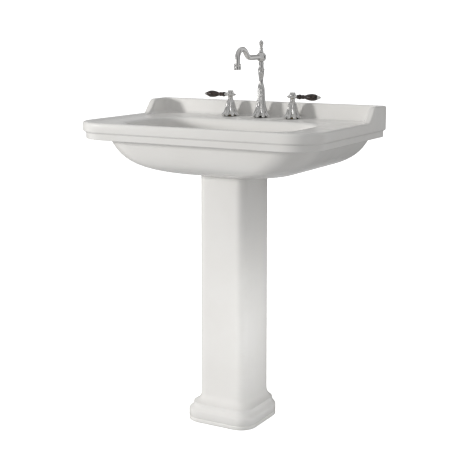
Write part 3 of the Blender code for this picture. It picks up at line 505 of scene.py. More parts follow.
# Rim: (distance in from its edge, height from its top). Upstand: (share of its width,
# millimetres more, height from its top). Cove: (share of its width, height over the table).
RIM_ROWS = ((0.0, -0.006), (0.0005, -0.0034), (0.0018, -0.0014), (0.004, -0.0003), (0.0065, 0.0),
    (0.011, -0.0002), (0.016, -0.0008), (0.0205, -0.0016), (0.0245, -0.0024), (0.028, -0.0032),
    (0.031, -0.0037), (0.0335, -0.0039), (0.036, -0.004), (0.0375, -0.004), (0.0395, -0.004), (0.042, -0.004),
    (0.045, -0.004))
WING_ROWS = ((0, 0.0, -0.006), (0, 0.6, -0.0034), (0, 2.0, -0.0014), (0, 4.2, -0.0003), (0, 6.5, 0.0),
    (0.4, 0.0, 0.0), (0.6, 0.0, 0.0), (1, -6.5, 0.0), (1, -4.2, -0.0003), (1, -2.0, -0.0014),
    (1, -0.6, -0.0034), (1, 0.0, -0.006))
COVE_ROWS = ((0.29, 0.0095), (0.42, 0.0054), (0.58, 0.0023), (0.77, 0.0006), (1.0, 0.0))


def top_rings():
    """The rim's top, which rises into the upstand at the back and its two ends."""
    outer = rim_plan(0.0)
    meet, end = WING_Y - 0.01, WALL_Y - UPSTAND - WING_FILLET
    shrink = (end - meet) / (WALL_Y - 0.008 - meet)
    inner_rows = [y if y < meet else meet + (y - meet) * shrink for x, y, _ in outer[-len(SIDE_Y):]]

    def inner(inset, side_cove=0.0, back_cove=0.0):
        return plan(HALF - inset - side_cove, FRONT_Y + RIM_WIDTH, WALL_Y - UPSTAND - back_cove, 0.075,
            WING_FILLET - back_cove, 0.0, inner_rows)
    rim_side, wing_side, cove_side = inner(RIM_WIDTH), inner(WING), inner(WING, SIDE_COVE, BACK_COVE)
    rings = [[] for _ in RIM_ROWS]
    for start, rim_end, wing_end, cove_end in zip(outer, rim_side, wing_side, cove_side):
        start, rim_end, wing_end, cove_end = map(Vector, (start, rim_end, wing_end, cove_end))
        over = wing_end - start
        width = over.length
        over.normalize()
        share = smoothstep(start.y, WING_FRONT_Y - 0.045, WING_FRONT_Y + 0.018)
        for row, (rim_in, rim_z) in enumerate(RIM_ROWS):
            rim_point = start.lerp(rim_end, rim_in / RIM_WIDTH)
            if row < len(WING_ROWS):
                part, more, under = WING_ROWS[row]
                wing_point = start + over * (part * width + more / 1000)
                height = wing_top(wing_point.y) + under
            else:
                part, rise = COVE_ROWS[row - len(WING_ROWS)]
                wing_point = wing_end.lerp(cove_end, part)
                room = max(0.0, wing_top(wing_point.y) - 0.006 - DECK_Z)
                height = DECK_Z + rise * min(1.0, room / 0.02)
            point = rim_point.lerp(wing_point, share)
            level = (RIM_Z + rim_z) * (1 - share) + height * share
            rings[row].append((point.x, point.y, level))
    return rings


def basin_rings():
    rings = [round_ring(0.022, SEAT_Z), round_ring(0.04, SEAT_Z)]
    for rise in (0.0, 0.0006, 0.0016, 0.003, 0.005, 0.008, 0.012, 0.017, 0.023, 0.03, 0.038, 0.047, 0.057,
            0.068, 0.08):
        rings.append(hull_ring(SEAT_Z + rise))
    for step in range(6):
        angle = math.radians(18 * step)
        rings.append(hull_ring(UNDER_RIM_Z - 0.01 * (1 - math.sin(angle)), 0.01 * (1 - math.cos(angle))))
    for inset, z in ((0.03, 0.0), (0.01, 0.0), (0.0085, 0.0003), (0.0074, 0.0012), (0.007, 0.0026),
            (0.007, 0.016), (0.0067, 0.0172), (0.006, 0.0181), (0.0046, 0.019), (0.0026, 0.0199),
            (0.0012, 0.0208), (0.0003, 0.0221), (0.0, 0.024)):
        rings.append(rim_plan(inset, UNDER_RIM_Z + z))
    rings += top_rings()
    for inset, fall in ((0.0, 0.0), (0.0012, 0.0002), (0.003, 0.0009), (0.005, 0.0023), (0.007, 0.0042),
            (0.0085, 0.0066)):
        rings.append(lip_ring(inset, DECK_Z - fall))
    depth = DECK_Z - 0.009 - FLOOR_Z
    for step in range(1, 31):
        z = DECK_Z - 0.009 - depth * (1 - (1 - step / 30) ** 1.9)
        half, front, back = bowl_edges(z)
        corner = table(z, ((0.731, 0.05), (0.7321, 0.055), (0.7356, 0.062), (0.743, 0.07), (0.755, 0.076),
            (0.773, 0.078), (0.826, 0.074), (0.849, 0.072)))
        rings.append(plan(half, front, back, corner, corner, z))
    last = rings[-1]
    circle = round_ring(0.0345, 0.0)
    for share, fall in ((0.3, 0.0002), (0.6, 0.0004), (0.85, 0.0005), (1.0, 0.0006)):
        rings.append([(a[0] + (b[0] - a[0]) * share, a[1] + (b[1] - a[1]) * share, FLOOR_Z - fall)
            for a, b in zip(last, circle)])
    for radius, z in ((0.0335, 0.7299), (0.0326, 0.7293), (0.032, 0.7282), (0.0318, 0.7278), (0.022, 0.7278),
            (0.022, 0.715)):
        rings.append(round_ring(radius, z))
    return rings


def service_bay():
    mesh = bmesh.new()
    rings = []
    for z in (SEAT_Z - 0.004, SEAT_Z + 0.006, 0.726, 0.731, 0.737, 0.743, 0.75, 0.757, 0.768, 0.779, 0.793,
            0.807, 0.825, 0.838, 0.842, DECK_UNDER_Z):
        level = max(z, SEAT_Z)
        half = min(0.262, hull_plan(min(level, UNDER_RIM_Z))[0] - 0.014)
        front = bowl_edges(max(level, FLOOR_Z))[2] + 0.013
        tuck = 0.006 * smoothstep(z, 0.825, DECK_UNDER_Z)
        rings.append([(x, y, z) for x, y, _ in plan(half - tuck, front + tuck, WALL_Y - 0.014 - tuck,
            0.012, 0.012)])
    stack(mesh, rings)
    return mesh


def overflow_passage():
    mesh = bmesh.new()
    path = [(0, WALL_Y - reach, z) for reach, z in ((0.385, 0.827), (0.402, 0.8255), (0.411, 0.818),
        (0.407, 0.785), (0.396, 0.759), (0.372, 0.742), (0.335, 0.728), (0.3, 0.7228), (0.255, 0.7228))]
    stack(mesh, path_rings(spline(path, 3), 0.0045, 16))
    return mesh


def basin():
    mesh = bmesh.new()
    stack(mesh, basin_rings(), closed=True)
    obj = make("basin", mesh, CHINA, smooth_angle=45.0)
    holes = [cylinder(0.0155, 0.83, 0.87, at(x, TAP_Y)) for x in (-TAP_X, 0.0, TAP_X)]
    bores = [cylinder(0.006, -0.004, 0.02, facing(side * BOLT.x, WALL_Y, BOLT.z, (0, -1, 0)), 24)
        for side in (-1, 1)]
    carve(obj, service_bay(), *holes, *bores, overflow_passage())


# ------------------------------------------------------------------- pedestal
FOOT = ((0.0, 0.029), (0.0012, 0.0305), (0.003, 0.0315), (0.0098, 0.0315), (0.011, 0.0308), (0.0118, 0.0298),
    (0.0132, 0.0298), (0.014, 0.0308), (0.0152, 0.0315), (0.0312, 0.0315), (0.0334, 0.0312), (0.0352, 0.0302),
    (0.037, 0.0282), (0.039, 0.0258), (0.0414, 0.0233), (0.044, 0.0214), (0.0468, 0.0204), (0.0498, 0.0199),
    (0.0528, 0.0197), (0.0539, 0.0192), (0.0544, 0.018), (0.0549, 0.0167), (0.0557, 0.015), (0.0573, 0.0121),
    (0.0594, 0.0091), (0.0622, 0.0061), (0.0655, 0.0037), (0.0698, 0.0018), (0.0745, 0.0006), (0.08, 0.0))


def column_ring(grow, z, corner, back_share=1.0, steps=10):
    """The column's outline at a height; it narrows a little towards the top."""
    taper = COLUMN_TAPER * max(0.0, z - COLUMN_FOOT_Z) / (COLUMN_TOP - COLUMN_FOOT_Z)
    half, front, back = (size + grow * share - taper for size, share in ((COLUMN_HALF, 1.0),
        (COLUMN_DEPTH, 1.0), (COLUMN_DEPTH, back_share)))
    ring = []
    for quarter in range(4):
        side, reach = ((1, back), (-1, back), (-1, -front), (1, -front))[quarter]
        toward = math.copysign(1, reach)
        for i in range(steps + 1):
            angle = math.radians(90 * quarter + 90 * i / steps)
            ring.append((side * (half - corner) + corner * math.cos(angle),
                COLUMN_Y + reach - toward * corner + corner * math.sin(angle), z))
    return ring


def pedestal():
    mesh = bmesh.new()
    rings = [column_ring(grow, z, COLUMN_CORNER + grow * 0.6, BACK_SHARE) for z, grow in FOOT]
    rings += [column_ring(0.0, z, COLUMN_CORNER) for z in (0.15, 0.25, 0.35, 0.45, 0.55, 0.65)]
    for grow, fall in ((0.0, 0.006), (-0.0004, 0.0035), (-0.0012, 0.0014), (-0.0022, 0.0003), (-0.0032, 0.0)):
        rings.append(column_ring(grow, COLUMN_TOP - fall, COLUMN_CORNER))
    for z, grow in ((COLUMN_TOP, 0.0015), (COLUMN_TOP - 0.0015, 0.0), (0.45, 0.0), (0.2, 0.0), (0.075, 0.0),
            (0.064, 0.002), (0.051, 0.008), (0.044, 0.01), (0.0, 0.012)):
        rings.append(column_ring(grow - SHELL, z, COLUMN_CORNER - 0.012))
    stack(mesh, rings, closed=True)
    for side in (-1, 1):
        low = (min(side * 0.03, side * 0.08), COLUMN_Y - 0.018, 0.01)
        high = (max(side * 0.03, side * 0.08), COLUMN_Y + 0.018, 0.024)
        add_block(mesh, low, high)
    obj = make("pedestal", mesh, CHINA)
    bores = [cylinder(0.0045, 0.0, 0.03, at(side * FLOOR_BOLT_X, COLUMN_Y), 24) for side in (-1, 1)]
    opening = block((-OPENING_HALF, COLUMN_Y + OPENING_BACK, -0.01),
        (OPENING_HALF, WALL_Y, COLUMN_TOP + 0.01))
    carve(obj, opening, *bores)
    bevel = obj.modifiers.new("eased", "BEVEL")
    bevel.width = 0.0016
    bevel.segments = 2
    bevel.limit_method = "ANGLE"
    bevel.angle_limit = math.radians(60)


def seat_gasket():
    mesh = bmesh.new()
    low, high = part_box("seat_gasket")
    rings = [column_ring(-inset, z, COLUMN_CORNER - inset) for inset, z in ((0.0038, low.z), (0.0038, high.z),
        (0.0098, high.z), (0.0098, low.z))]
    stack(mesh, rings, closed=True)
    obj = make("seat_gasket", mesh, RUBBER)
    gap = OPENING_HALF + 0.001
    carve(obj, block((-gap, COLUMN_Y + OPENING_BACK, low.z - 0.01), (gap, WALL_Y, high.z + 0.01)))


# ----------------------------------------------------------------- tap set
def petals(foot, top, table_of_depth):
    """Toes that splay at the foot and run up into ribs; the clefts between them arch off the table."""
    def form(angle, radius, height):
        wave = abs(math.cos(LOBES * angle / 2))
        sharp = 1.5 - 0.8 * smoothstep(height, foot + 0.004, foot + 0.022)
        cleft = 1 - wave ** sharp
        lift = 0.0034 * (1 - wave ** 1.2) * (1 - smoothstep(height, foot, foot + 0.013))
        return radius * (1 - table(height, table_of_depth) * cleft), min(height + lift, max(height, top))
    return form


def spout_column():
    foot = DECK_Z + 0.0018
    outside = spline([(0.0283, foot + 0.0036), (0.0262, foot + 0.007), (0.0222, 0.8715), (0.0189, 0.879),
        (0.016, 0.888), (0.0139, 0.899), (0.0124, 0.912), (0.0116, 0.925), (0.011, 0.937), (0.0098, 0.945),
        (0.008, 0.952), (0.0066, 0.959), (0.0063, 0.966), (0.007, 0.973), (0.0083, 0.98), (0.0092, 0.987),
        (0.0086, 0.992)], 5)
    rings = soften([(0.0092, 0.9925), (0.0099, 0.9935), (0.0099, 0.996), (0.0086, 0.9975), (0.008, 0.999),
        (0.0072, 1.003), (0.0071, 1.009), (0.0077, 1.0135), (0.0077, 1.0165)], 0.0007, 2)
    shank = threaded(0.0125, 0.802, foot - 0.003, 0.0018)
    profile = [(0.0085, 0.8), (0.0115, 0.8), *shank, (0.0122, foot), (0.0235, foot), (0.0278, foot),
        (0.0289, foot + 0.0014), *outside, *rings, (0.005, 1.0165), (0.005, 1.026), (0.003, 1.026),
        (0.003, 0.965), (0.0085, 0.88)]
    flutes = petals(foot, 0.952, ((foot, 0.4), (0.866, 0.34), (0.874, 0.25), (0.884, 0.19), (0.9, 0.17),
        (0.93, 0.15), (0.944, 0.1), (0.954, 0.05), (0.966, 0.05), (0.98, 0.18), (0.99, 0.12), (0.9915, 0.0)))
    screw = thread(0.0018, 0.0009, 0.802, foot - 0.003)

    def form(angle, radius, height):
        if height > 0.9925 or radius < 0.0052:
            return radius, height
        if height > foot - 0.0005 and radius > (0.0125 if height < foot + 0.001 else 0.0052):
            inside = 0.879 <= height < 0.881 and radius < 0.009
            twist = 30.0 * max(0.0, height - 0.94)
            return (radius, height) if inside else flutes(angle + twist, radius, height)
        return screw(angle, radius, height)
    turned("spout_body", CHROME, profile, at(0, TAP_Y), 128, form, smooth_angle=50.0)


def tap_bell(label, x):
    foot = DECK_Z + 0.0018
    outside = spline([(0.0276, foot + 0.0034), (0.0252, foot + 0.0066), (0.0212, 0.8712), (0.0182, 0.878),
        (0.016, 0.885), (0.0142, 0.893), (0.0122, 0.8995), (0.009, 0.904)], 5)
    neck = soften([(0.0076, 0.905), (0.0086, 0.9058), (0.0086, 0.9072), (0.0072, 0.9082), (0.007, 0.9115),
        (0.0078, 0.913), (0.0084, 0.9145), (0.0084, 0.9155)], 0.0006, 2)
    profile = [(0.021, foot), (0.0272, foot), (0.0282, foot + 0.0014), *outside, *neck, (0.0042, 0.9155),
        (0.0042, 0.902), (0.008, 0.897), (0.012, 0.875)]
    flutes = petals(foot, 0.9045, ((foot, 0.38), (0.866, 0.32), (0.874, 0.24), (0.884, 0.19), (0.895, 0.16),
        (0.901, 0.08), (0.9042, 0.0)))
    lining = ((foot, 0.015), (0.875, 0.0125), (0.897, 0.0082), (0.905, 0.0))

    def form(angle, radius, height):
        if height < 0.9045 and radius > table(height, lining):
            return flutes(angle, radius, height)
        return radius, height
    turned("tap_bell_" + label, CHROME, profile, at(x, TAP_Y), 128, form, smooth_angle=50.0)


def lever(label, x, side):
    """Hub with a beaded crown, chrome core, black grip and chrome end cap."""
    mesh = bmesh.new()
    low = 0.916
    outline = soften(raised(low, (0.0034, 0), (0.0072, 0), (0.0088, 0.0016), (0.0092, 0.005),
        (0.0092, 0.0102), (0.0086, 0.0128), (0.0072, 0.0146)), 0.0012, 3)
    crown = spline(raised(low, (0.0072, 0.0146), (0.006, 0.0155), (0.0036, 0.017), (0, 0.0178)), 4)

    def ribs(angle, radius, height):
        depth = 0.07 * smoothstep(radius, 0.006, 0.0086)
        return radius * (1 + depth * (abs(math.cos(6 * angle)) - 0.6)), height
    lathe(mesh, [*raised(low, (0, 0.0085), (0.0034, 0.0085)), *outline, *crown[1:]], at(x, TAP_Y), 96, ribs)
    for i in range(8):
        angle = 2 * math.pi * (i + 0.5) / 8
        bead = [(0.0, -0.0021)] + [(0.0021 * math.cos(math.radians(a)), 0.0021 * math.sin(math.radians(a)))
            for a in (-60, -30, 0, 30, 60)] + [(0.0, 0.0021)]
        lathe(mesh, bead, at(x + 0.0068 * math.cos(angle), TAP_Y + 0.0068 * math.sin(angle),
            low + 0.0152), 12)
    core = [(0.0, 0.004), (0.005, 0.004), *spline([(0.005, 0.008), (0.0042, 0.0105), (0.0046, 0.013),
        (0.006, 0.0148)], 4), *soften([(0.0064, 0.0152), (0.0064, 0.0166), (0.0026, 0.017)], 0.0004, 2),
        (0.0026, 0.082), (0.0, 0.082)]
    outward = facing(x, TAP_Y, LEVER_Z, (side, 0, 0))
    lathe(mesh, core, outward, 32)
    nub = [(0.0, 0.007), (0.0042, 0.007), (0.0042, 0.0096), *spline([(0.0036, 0.0104), (0.004, 0.0122),
        (0.003, 0.0146), (0.0016, 0.0172), (0.0007, 0.0186)], 4), (0.0, 0.019)]
    lathe(mesh, nub, facing(x, TAP_Y, LEVER_Z, (-side, 0, 0)), 32)
    make("lever_hub_" + label, mesh, CHROME)

    outer = spline([(0.0058, 0.0178), (0.0068, 0.0198), (0.0073, 0.0228), (0.0066, 0.0264),
        (0.0052, 0.029)], 5)
    outer += spline([(0.005, 0.0296), (0.006, 0.0312), (0.0064, 0.0335), (0.006, 0.036), (0.005, 0.0378)], 4)
    outer += spline([(0.005, 0.039), (0.0066, 0.043), (0.0086, 0.05), (0.0099, 0.058), (0.01, 0.064),
        (0.0091, 0.071), (0.007, 0.076), (0.0056, 0.0784)], 5)
    turned("lever_grip_" + label, GLAZE, [(0.003, 0.0175), (0.0052, 0.0175), *outer, (0.003, 0.0785)],
        outward, 48, smooth_angle=50.0)

    cap = soften([(0.003, 0.0789), (0.0055, 0.0789), (0.0059, 0.0796), (0.0059, 0.0806),
        (0.005, 0.0812)], 0.0003)
    cap += spline([(0.0048, 0.0818), (0.0043, 0.0838), (0.0034, 0.086), (0.0022, 0.0878), (0.001, 0.0889)], 4)
    turned("lever_tip_" + label, CHROME, [(0.0, 0.0826), (0.003, 0.0826), *cap, (0.0, 0.0892)],
        outward, 36)


def neck_path():
    """Centre line of the swan neck: level, up at 45 degrees, over and down."""
    rise, crown = 0.03, 0.027
    drop_y = TAP_Y - 0.14
    crown_y, crown_z = drop_y + crown, 1.055 - crown
    slant = math.sin(math.radians(45))
    climb_y = crown_y + crown * slant
    end_z = HUB_Z + rise * (1 - slant)
    bend_y = climb_y + (crown_z + crown * slant - end_z) + rise * slant
    path = [(0, TAP_Y - 0.004, HUB_Z), (0, TAP_Y - 0.018, HUB_Z), (0, TAP_Y - 0.03, HUB_Z)]
    path += arc(bend_y, HUB_Z + rise, rise, 270, 225, 8)
    path += arc(crown_y, crown_z, crown, 45, 180, 22)
    path += [(0, drop_y, 1.016), (0, drop_y, 1.004)]
    return path


def swan_neck():
    mesh = bmesh.new()
    ball = [(0.0145 * math.cos(math.radians(a)), HUB_Z + 0.0145 * math.sin(math.radians(a)))
        for a in range(-64, 65, 4)]
    lathe(mesh, [(0.0054, HUB_Z - 0.0045), (0.0054, HUB_Z - 0.014), *ball, (0.0052, HUB_Z + 0.014),
        (0.003, HUB_Z + 0.014), (0.003, HUB_Z - 0.0045)], at(0, TAP_Y), 64)
    pipe(mesh, neck_path(), 0.0074, 0.0052, 40)
    root = soften([(0.006, 0.012), (0.0098, 0.012), (0.0098, 0.0148), (0.0086, 0.016), (0.0071, 0.0185),
        (0.006, 0.0185)], 0.0008, 3)
    lathe(mesh, root, facing(0, TAP_Y, HUB_Z, (0, -1, 0)), 40)
    make("swan_neck", mesh, CHROME)

    nub = [(0.0, 0.0148), (0.0056, 0.0148), *soften([(0.006, 0.0152), (0.006, 0.0166), (0.0048, 0.0176)],
        0.0004), *spline([(0.005, 0.0184), (0.0052, 0.0196), (0.004, 0.0212), (0.0022, 0.0224),
        (0.001, 0.023)], 4), (0.0, 0.0232)]
    turned("hub_nub", CHROME, nub, facing(0, TAP_Y, HUB_Z, (0, 1, 0)), 36)

    low = HUB_Z + 0.0144
    gland = soften(raised(low, (0.0028, 0), (0.007, 0), (0.007, 0.001), (0.0058, 0.0022), (0.0051, 0.0045),
        (0.0048, 0.0085), (0.0054, 0.01), (0.0054, 0.0112), (0.0047, 0.0122), (0.0028, 0.0122)),
        0.0005, 3, True)
    turned("neck_gland", CHROME, gland, at(0, TAP_Y), 40)

    sleeve = rounded([(0.0074, 1.0162), (0.0086, 1.0162), (0.01, 1.015), (0.01, 1.0122), (0.009, 1.011),
        (0.009, 1.01), (0.0101, 1.0088), (0.0104, 1.003), (0.01, 0.9998), (0.0094, 0.999), (0.008, 0.999),
        (0.008, 1.0025), (0.0074, 1.003)], 0.0005)
    turned("nozzle_sleeve", CHROME, sleeve, at(0, TAP_Y - 0.14), 48)

    turned("aerator", BRASS, [(0, 1.0006), (0.0012, 1.0006), (0.0016, 1.001), (0.0028, 1.001),
        (0.0032, 1.0006), (0.0044, 1.0006), (0.0048, 1.001), (0.006, 1.001), (0.0063, 1.0002),
        (0.0072, 1.0002), (0.0074, 1.0004), (0.0074, 1.0022), (0.0046, 1.0022), (0.0046, 1.0034),
        (0, 1.0034)], at(0, TAP_Y - 0.14), 36)


def lift_rod():
    turned("lift_rod", CHROME, [(0, 0.715), (0.0016, 0.715), (0.0023, 0.7158), (0.0023, 1.0645), (0, 1.0645)],
        at(0, TAP_Y), 24)
    knob = spline([(0.0042, 1.0612), (0.0044, 1.0624), (0.0052, 1.0646), (0.006, 1.0672), (0.0063, 1.07),
        (0.0059, 1.0728), (0.0048, 1.0754), (0.0036, 1.077)], 4)
    tip = spline([(0.003, 1.0772), (0.0026, 1.0782), (0.0014, 1.079)], 3)
    turned("lift_knob", CHROME, [(0, 1.066), (0.0027, 1.066), (0.0027, 1.0586), (0.0045, 1.0586),
        (0.0047, 1.0594), (0.0046, 1.0604), *knob, *tip, (0, 1.0792)], at(0, TAP_Y), 40, smooth_angle=50.0)


def gripped(edge, count, depth, power, level):
    """Form for a lathe: grip ribs on whatever stands out beyond the edge."""
    def form(angle, radius, height):
        if radius < edge:
            return radius, height
        return radius * (1 + depth * (abs(math.cos(count * angle)) ** power - level)), height
    return form


def under_table(suffix, x):
    """Gasket on the table and locknut under it."""
    z = DECK_Z + 0.0004
    turned(suffix[0], RUBBER, rounded([(0.0132, z), (0.0185, z), (0.0185, z + 0.001), (0.0132, z + 0.001)],
        0.0003), at(x, TAP_Y), 48)
    top = DECK_UNDER_Z - 0.0004
    mesh = bmesh.new()
    flats = raised(top, (0.0132, -0.0105), (0.016, -0.0105), (0.018, -0.0092), (0.018, -0.003),
        (0.0132, -0.003))
    lathe(mesh, rounded(flats, 0.0004), at(x, TAP_Y), 72, hexagon)
    collar = raised(top, (0.0132, -0.0031), (0.0225, -0.0025), (0.0225, 0), (0.0132, 0))
    lathe(mesh, rounded(collar, 0.0004), at(x, TAP_Y), 48)
    make(suffix[1], mesh, BRASS)


def valve(label, x, side):
    mesh = bmesh.new()
    outside = soften([(0.0092, 0.765), (0.01, 0.766), (0.01, 0.778), (0.0125, 0.78),
        (0.0125, 0.801)], 0.0006, 2)
    upper = soften([(0.0125, 0.862), (0.012, 0.865), (0.0105, 0.866), (0.0098, 0.87), (0.0092, 0.871),
        (0.0092, 0.8905), (0.0084, 0.892)], 0.0005, 2)
    profile = [(0.006, 0.765), *outside, *threaded(0.0125, 0.803, 0.86, 0.0018), *upper, (0.0038, 0.892),
        (0.0038, 0.87), (0.006, 0.866)]
    lathe(mesh, profile, at(x, TAP_Y), 48, thread(0.0018, 0.0009, 0.803, 0.86))
    stub = rounded([(0.0036, 0.01), (0.006, 0.01), (0.006, 0.014), (0.0066, 0.0146), (0.0066, 0.0172),
        (0.006, 0.0176), (0.0036, 0.0176)], 0.0003)
    lathe(mesh, stub, facing(x, TAP_Y, LINK_Z, (-side, 0, 0)), 36)
    make("valve_body_" + label, mesh, BRASS)
    turned("valve_stem_" + label, BRASS, [(0, 0.871), (0.003, 0.871), (0.0034, 0.8714), (0.0034, 0.9148),
        (0.003, 0.9152), (0.003, 0.9236), (0.0026, 0.924), (0, 0.924)], at(x, TAP_Y), 24)
    mesh = bmesh.new()
    reach = TAP_X - 0.018
    pipe(mesh, [(side * (0.0224 + (reach - 0.0224) * i / 8), TAP_Y, LINK_Z) for i in range(9)],
        0.004, 0.0034, 24)
    for start in (0.0224, reach - 0.01):
        sleeve = rounded([(0.0041, 0.0), (0.0048, 0.0), (0.0048, 0.01), (0.0041, 0.01)], 0.0003)
        lathe(mesh, sleeve, facing(side * start, TAP_Y, LINK_Z, (side, 0, 0)), 36, hexagon)
    make("link_pipe_" + label, mesh, ZINC)


def spout_tee():
    mesh = bmesh.new()
    cup = rounded([(0.0032, 0.78), (0.011, 0.78), (0.013, 0.782), (0.013, 0.7996), (0.007, 0.7996),
        (0.007, 0.786), (0.0032, 0.786)], 0.0006)
    lathe(mesh, cup, at(0, TAP_Y), 48)
    for side in (-1, 1):
        stub = rounded([(0.0031, 0.0118), (0.0055, 0.0118), (0.0055, 0.017), (0.0062, 0.0176),
            (0.0062, 0.0214), (0.0056, 0.022), (0.0031, 0.022)], 0.0003)
        lathe(mesh, stub, facing(0, TAP_Y, LINK_Z, (side, 0, 0)), 36)
    make("spout_tee", mesh, BRASS)


# ------------------------------------------------------------------- waste
def drain():
    flange = soften([(0.015, 0.708), (0.017, 0.708), (0.017, 0.723), (0.0205, 0.7282), (0.031, 0.7282),
        (0.0312, 0.7295), (0.0296, 0.7314), (0.027, 0.7321), (0.024, 0.7318), (0.0218, 0.7302), (0.02, 0.727),
        (0.0172, 0.723), (0.015, 0.721)], 0.0008, 3, True)
    turned("drain_flange", CHROME, flange, at(0, DRAIN_Y), 64)

    mesh = bmesh.new()
    body = rounded([(0.0174, 0.634), (0.0215, 0.634), (0.0215, 0.649), (0.0195, 0.651), (0.0195, 0.687),
        (0.0195, 0.722), (0.0174, 0.722)], 0.0006)
    lathe(mesh, body, at(0, DRAIN_Y), 64)
    port = rounded([(0.007, 0.018), (0.01, 0.018), (0.01, 0.037), (0.007, 0.037)], 0.0004)
    lathe(mesh, port, facing(0, DRAIN_Y, PIVOT_Z, (0, 1, 0)), 36)
    obj = make("drain_body", mesh, CHROME)
    carve(obj, cylinder(0.0069, 0.01, 0.0182, facing(0, DRAIN_Y, PIVOT_Z, (0, 1, 0)), 36))

    turned("drain_gasket", RUBBER, rounded([(0.0199, 0.7082), (0.029, 0.7082), (0.031, 0.7102),
        (0.031, 0.7136), (0.0199, 0.7136)], 0.0006), at(0, DRAIN_Y), 48)
    mesh = bmesh.new()
    lathe(mesh, rounded([(0.0199, 0.698), (0.024, 0.698), (0.0265, 0.6995), (0.0265, 0.7052),
        (0.0199, 0.7052)], 0.0005), at(0, DRAIN_Y), 72, hexagon)
    lathe(mesh, rounded([(0.0199, 0.7051), (0.029, 0.7056), (0.029, 0.7078), (0.0199, 0.7078)], 0.0004),
        at(0, DRAIN_Y), 48)
    make("drain_locknut", mesh, BRASS)


def stopper():
    mesh = bmesh.new()
    dome = spline([(0.0014, 0.7336), (0.006, 0.7333), (0.011, 0.7324), (0.0155, 0.7308), (0.018, 0.729),
        (0.0186, 0.7278)], 4)
    under = soften([(0.0186, 0.7274), (0.0184, 0.7268), (0.014, 0.726), (0.014, 0.7225), (0.0148, 0.7223),
        (0.014, 0.721), (0.0065, 0.719), (0.006, 0.717), (0.006, 0.655), (0.005, 0.653)], 0.0004, 2)
    profile = [(0, 0.7337), *dome, *under, (0, 0.653)]
    lathe(mesh, raised(STOPPER_LIFT, *profile), at(0, DRAIN_Y), 56)
    obj = make("stopper", mesh, CHROME)
    level = PIVOT_Z + PIVOT_TIP * math.tan(PIVOT_TILT)
    carve(obj, block((-0.0033, DRAIN_Y - 0.012, level - 0.0039), (0.0033, DRAIN_Y + 0.012, level + 0.0039)))
    ring = rounded([(0.0144, 0.7229), (0.0155, 0.7229), (0.0163, 0.7237), (0.0163, 0.725), (0.0155, 0.7256),
        (0.0144, 0.7256)], 0.0004)
    turned("stopper_ring", RUBBER, raised(STOPPER_LIFT, *ring), at(0, DRAIN_Y), 48)


def linkage():
    along = (0, math.cos(PIVOT_TILT), -math.sin(PIVOT_TILT))
    tail, tip, ball = PIVOT_ARM + 0.018, -PIVOT_TIP - 0.004, 0.0064
    profile = [(0, tip), (0.0017, tip), (0.0023, tip + 0.001)]
    profile += [(max(0.0023, ball * math.cos(math.radians(a))), ball * math.sin(math.radians(a)))
        for a in range(-68, 69, 8)]
    profile += [(0.0023, tail - 0.001), (0.0017, tail), (0, tail)]
    turned("pivot_rod", CHROME, profile, facing(0, PIVOT_Y, PIVOT_Z, along), 28)

    nut = rounded([(0.0104, 0.024), (0.0124, 0.024), (0.013, 0.025), (0.013, 0.0388), (0.012, 0.04),
        (0.0062, 0.04), (0.0058, 0.0376), (0.0104, 0.0376)], 0.0005)
    turned("pivot_nut", CHROME, nut, facing(0, DRAIN_Y, PIVOT_Z, (0, 1, 0)), 108,
        gripped(0.0112, 9, 0.035, 0.5, 0.8))

    mesh = bmesh.new()
    strap_y, half, thick = PIVOT_Y + PIVOT_ARM, 0.006, 0.0016
    bends = [(TAP_Y - 0.0085, 0.745), (TAP_Y - 0.0085, 0.712), (strap_y, 0.674), (strap_y, 0.62)]
    route = soften(bends, 0.006, 5)
    stack(mesh, [[(-half, y, z), (half, y, z), (half, y + thick, z), (-half, y + thick, z)]
        for y, z in route])
    obj = make("clevis_strap", mesh, ZINC, smooth_angle=30.0)
    level = PIVOT_Z - PIVOT_ARM * math.tan(PIVOT_TILT)
    holes = [cylinder(0.0034, -0.01, 0.01, facing(0, strap_y, level + step * 0.0105, (0, 1, 0)), 24)
        for step in (-1, 0, 1, 2)]
    carve(obj, *holes)
    joined = bmesh.new()
    joined.from_mesh(obj.data)
    add_block(joined, (-half + 0.0005, TAP_Y - 0.008, 0.724), (half - 0.0005, TAP_Y + 0.006, 0.738))
    joined.to_mesh(obj.data)
    joined.free()
    carve(obj, cylinder(0.003, 0.7, 0.8, at(0, TAP_Y), 24), cylinder(0.0024, 0.0, 0.02,
        facing(0, TAP_Y, 0.731, (0, -1, 0)), 24))
    head = soften([(0.002, 0.0094), (0.005, 0.0094), (0.005, 0.0122), (0.0042, 0.0135)], 0.0004, 2)
    turned("clevis_screw", BRASS, [(0, 0.0027), *threaded(0.002, 0.003, 0.009, 0.001), *head, (0, 0.0135)],
        facing(0, TAP_Y, 0.731, (0, -1, 0)), 64, gripped(0.0031, 8, 0.06, 1, 0.6))


def overflow_ring():
    low, high = bowl_edges(0.817)[1], bowl_edges(0.837)[1]
    normal = Vector((0, 1.0, (low - high) / 0.02)).normalized()
    seat = Vector((0, bowl_edges(0.827)[1], 0.827)) + normal * 0.0007
    ring = soften([(0.0049, 0.0), (0.0105, 0.0), (0.0105, 0.0008), (0.0092, 0.0021), (0.0068, 0.0023),
        (0.0052, 0.0014), (0.0049, 0.0008)], 0.0005, 3, True)
    turned("overflow_ring", CHROME, ring, facing(*seat, normal), 48)


